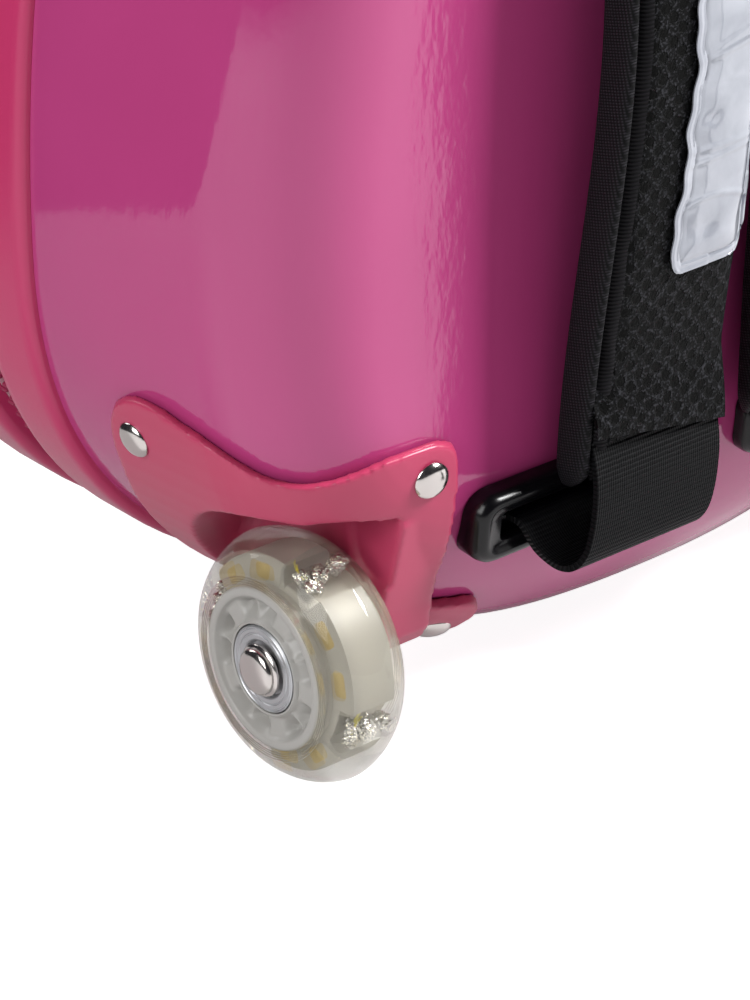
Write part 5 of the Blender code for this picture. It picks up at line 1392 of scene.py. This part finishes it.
rows = []
for height in np.linspace(POCKET_LOW, POCKET_TOP, 96):
    half = pocket_half(height)
    near_top = max(0.0, 1 - (POCKET_TOP - height) / 0.060)
    row = []
    for share in np.linspace(-1, 1, 90):
        gather = GATHER * near_top * math.cos(share * GATHER_TURNS) * (1 - share ** 4)
        sag = 0.0016 * math.sin(math.pi * (height - 0.008) / 0.27) * (1 - share ** 2)
        row.append((share * half, POCKET_Y + gather + sag, height))
    rows.append(row)
panel = ribbon("pocket_cloth", rows, 0.0009)
fit(panel, (LINING,), "lining", "lid", "lid_pocket")
rows = []
for height in np.linspace(0.2515, 0.2625, 7):
    half = pocket_half(height)
    row = []
    for share in np.linspace(-1, 1, 180):
        gather = GATHER * math.cos(share * GATHER_TURNS) * (1 - share ** 4)
        row.append((share * half, POCKET_Y + gather, height))
    rows.append(row)
elastic = ribbon("pocket_elastic", rows, 0.0022)
fit(elastic, (TAPE,), "zip_tape", "lid")


# Packing strap and buckle
# A strap of webbing from each side wall clips in a moulded buckle across the rear half, to hold clothes
# down. Its far end is sewn to the lining at the wall.
PACKING_Y = ZIP_Y - 0.042
PACKING_Z = 0.190
PACKING_HALF = 0.0123
PACKING_ENDS = (-0.0145, -0.1288)
rows = []
for x in np.linspace(*PACKING_ENDS, 90):
    rows.append([(x, PACKING_Y + 0.0003 * math.sin(x * 300), PACKING_Z + across)
                 for across in np.linspace(-PACKING_HALF, PACKING_HALF, 18)])
strap = ribbon("left_packing_web", rows, 0.0014)
for item in pair(strap, "packing_web", (WEB,), "black_webbing", "case", "packing_strap"):
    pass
buckle = block("buckle_moulding", (0, PACKING_Y, PACKING_Z), (0.022, 0.004, 0.018), 0.002, 4)
for hand in (-1, 1):
    cut(buckle, block("mouth", (hand * 0.022, PACKING_Y, PACKING_Z), (0.008, 0.00105, 0.0128)))
    for rise in (0.013, -0.013):
        cut(buckle, block("prong_gap", (hand * 0.0085, PACKING_Y, PACKING_Z + rise),
                          (0.0035, 0.006, 0.0022), 0.0008, 2))
cut(buckle, block("seam", (0, PACKING_Y - 0.004, PACKING_Z), (0.0004, 0.0006, 0.016)))
smooth(buckle)
fit(buckle, (NYLON,), "black_plastic", "case", "packing_buckle")


# Studio
# The case stands on a white table that ends 13 cm behind it. Three broad soft lamps light it, from the
# right, the left and behind, in a dark room that only glossy rays meet. The camera sees white beyond.
SEEN_GLOW = 0.75
MIRRORED_GLOW = 0.16
TABLE_MIDDLE = (0, -1.27, 0)
TABLE_HALF = (2.5, 1.51, 1, 1)
FLOOR, tree, shader = finish("white_table", "#c6c6c6", Roughness=0.7)
ray = add(tree, "LightPath", {})
power = add(tree, "Math", {0: ray.outputs["Is Camera Ray"], 1: SEEN_GLOW, 2: MIRRORED_GLOW},
            operation="MULTIPLY_ADD")
glow = add(tree, "Emission", {"Color": (1.0, 1.0, 1.0, 1.0), "Strength": power.outputs[0]})
lit = add(tree, "AddShader", {0: shader.outputs[0], 1: glow.outputs[0]})
seen = add(tree, "Math", {0: ray.outputs["Is Camera Ray"], 1: ray.outputs["Is Glossy Ray"]},
           operation="MAXIMUM")
pick = add(tree, "MixShader", {"Fac": seen.outputs[0], 1: shader.outputs[0], 2: lit.outputs[0]})
tree.links.new(pick.outputs[0], tree.nodes["Material Output"].inputs["Surface"])
bpy.ops.object.select_all(action="DESELECT")
bpy.ops.mesh.primitive_plane_add(size=2)
floor = bpy.context.object
floor.name = "floor"
floor.data.transform(Matrix.Translation(TABLE_MIDDLE) @ Matrix.Diagonal(TABLE_HALF))
floor.data.materials.append(FLOOR)

# A strip of the table lies in shade beyond the picture. Only glossy rays meet it, as a dark band.
SHADE, tree, shader = finish("shaded_table", "#101010", Roughness=1.0, Specular_IOR_Level=0.0)
SHADE_EDGE = [(0.03, -0.17), (0.63, -0.77), (0.63, -0.92), (0.07, -0.262), (0.0, -0.19)]
card = bpy.data.meshes.new("shaded_strip")
card.from_pydata([(x, y, 0.0004) for x, y in SHADE_EDGE], [], [(0, 4, 3, 2, 1)])
card.materials.append(SHADE)
card = bpy.data.objects.new("shaded_strip", card)
bpy.context.collection.objects.link(card)
card.visible_camera = False
card.visible_diffuse = False
card.visible_shadow = False
card.visible_transmission = False


def lamp(name, place, target, size, power):
    """A square soft lamp that faces a point."""
    light = bpy.data.lights.new(name, "AREA")
    light.size = size
    light.energy = power
    item = bpy.data.objects.new(name, light)
    bpy.context.collection.objects.link(item)
    item.matrix_world = placed(place, Vector(place) - Vector(target))


LAMP_TARGET = (0, 0, 0.15)
lamp("key", (1.2, -0.95, 1.4), LAMP_TARGET, 0.6, 72)
lamp("fill", (-1.6, -0.25, 1.0), LAMP_TARGET, 1.1, 22)
lamp("back", (-0.3, 1.8, 1.3), LAMP_TARGET, 1.1, 16)

# The room: white to the camera and through the tyre, dark grey in reflections, a weak even light elsewhere
ROOM_LIGHT = 0.16
world = bpy.data.worlds.new("studio")
bpy.context.scene.world = world
world.use_nodes = True
tree = world.node_tree
ray = add(tree, "LightPath", {})
seen = add(tree, "Math", {0: ray.outputs["Is Camera Ray"], 1: ray.outputs["Is Transmission Ray"]},
           operation="MAXIMUM")
soft = tree.nodes["Background"]
soft.inputs["Color"].default_value = (1.0, 1.0, 1.0, 1.0)
soft.inputs["Strength"].default_value = ROOM_LIGHT
dark = add(tree, "Background", {"Color": (0.03, 0.03, 0.035, 1.0), "Strength": 1.0})
bright = add(tree, "Background", {"Color": (1.0, 1.0, 1.0, 1.0), "Strength": 1.0})
gloss = add(tree, "MixShader", {"Fac": ray.outputs["Is Glossy Ray"], 1: soft.outputs[0],
                                2: dark.outputs[0]})
whole = add(tree, "MixShader", {"Fac": seen.outputs[0], 1: gloss.outputs[0], 2: bright.outputs[0]})
tree.links.new(whole.outputs[0], tree.nodes["World Output"].inputs["Surface"])

# The camera: a long lens 1 m off, round to the left and looking down, set by the left wheel's middle
LENS = 201.6
FILM_WIDTH = 36.0
CAMERA_ROUND = math.radians(40.5)
CAMERA_UP = math.radians(27)
PICTURE = (750, 1000)
WHEEL_IN_PICTURE = (300, 654)
PIXELS_PER_METRE = PICTURE[0] * LENS / FILM_WIDTH
bpy.context.scene.view_settings.view_transform = "Standard"
lens = bpy.data.cameras.new("camera")
camera = bpy.data.objects.new("camera", lens)
bpy.context.collection.objects.link(camera)
lens.sensor_fit = "HORIZONTAL"
lens.sensor_width = FILM_WIDTH
lens.lens = LENS
lens.clip_start = 0.05
away = Vector((-math.sin(CAMERA_ROUND) * math.cos(CAMERA_UP), -math.cos(CAMERA_ROUND) * math.cos(CAMERA_UP),
               math.sin(CAMERA_UP)))
right = Vector((math.cos(CAMERA_ROUND), -math.sin(CAMERA_ROUND), 0))
up = away.cross(right)
right_shift = (WHEEL_IN_PICTURE[0] - PICTURE[0] / 2) / PIXELS_PER_METRE
up_shift = (WHEEL_IN_PICTURE[1] - PICTURE[1] / 2) / PIXELS_PER_METRE
place = WHEEL_AT + away - right * right_shift + up * up_shift
camera.matrix_world = Matrix.Translation(place) @ Matrix((right, up, away)).transposed().to_4x4()
bpy.context.scene.camera = camera
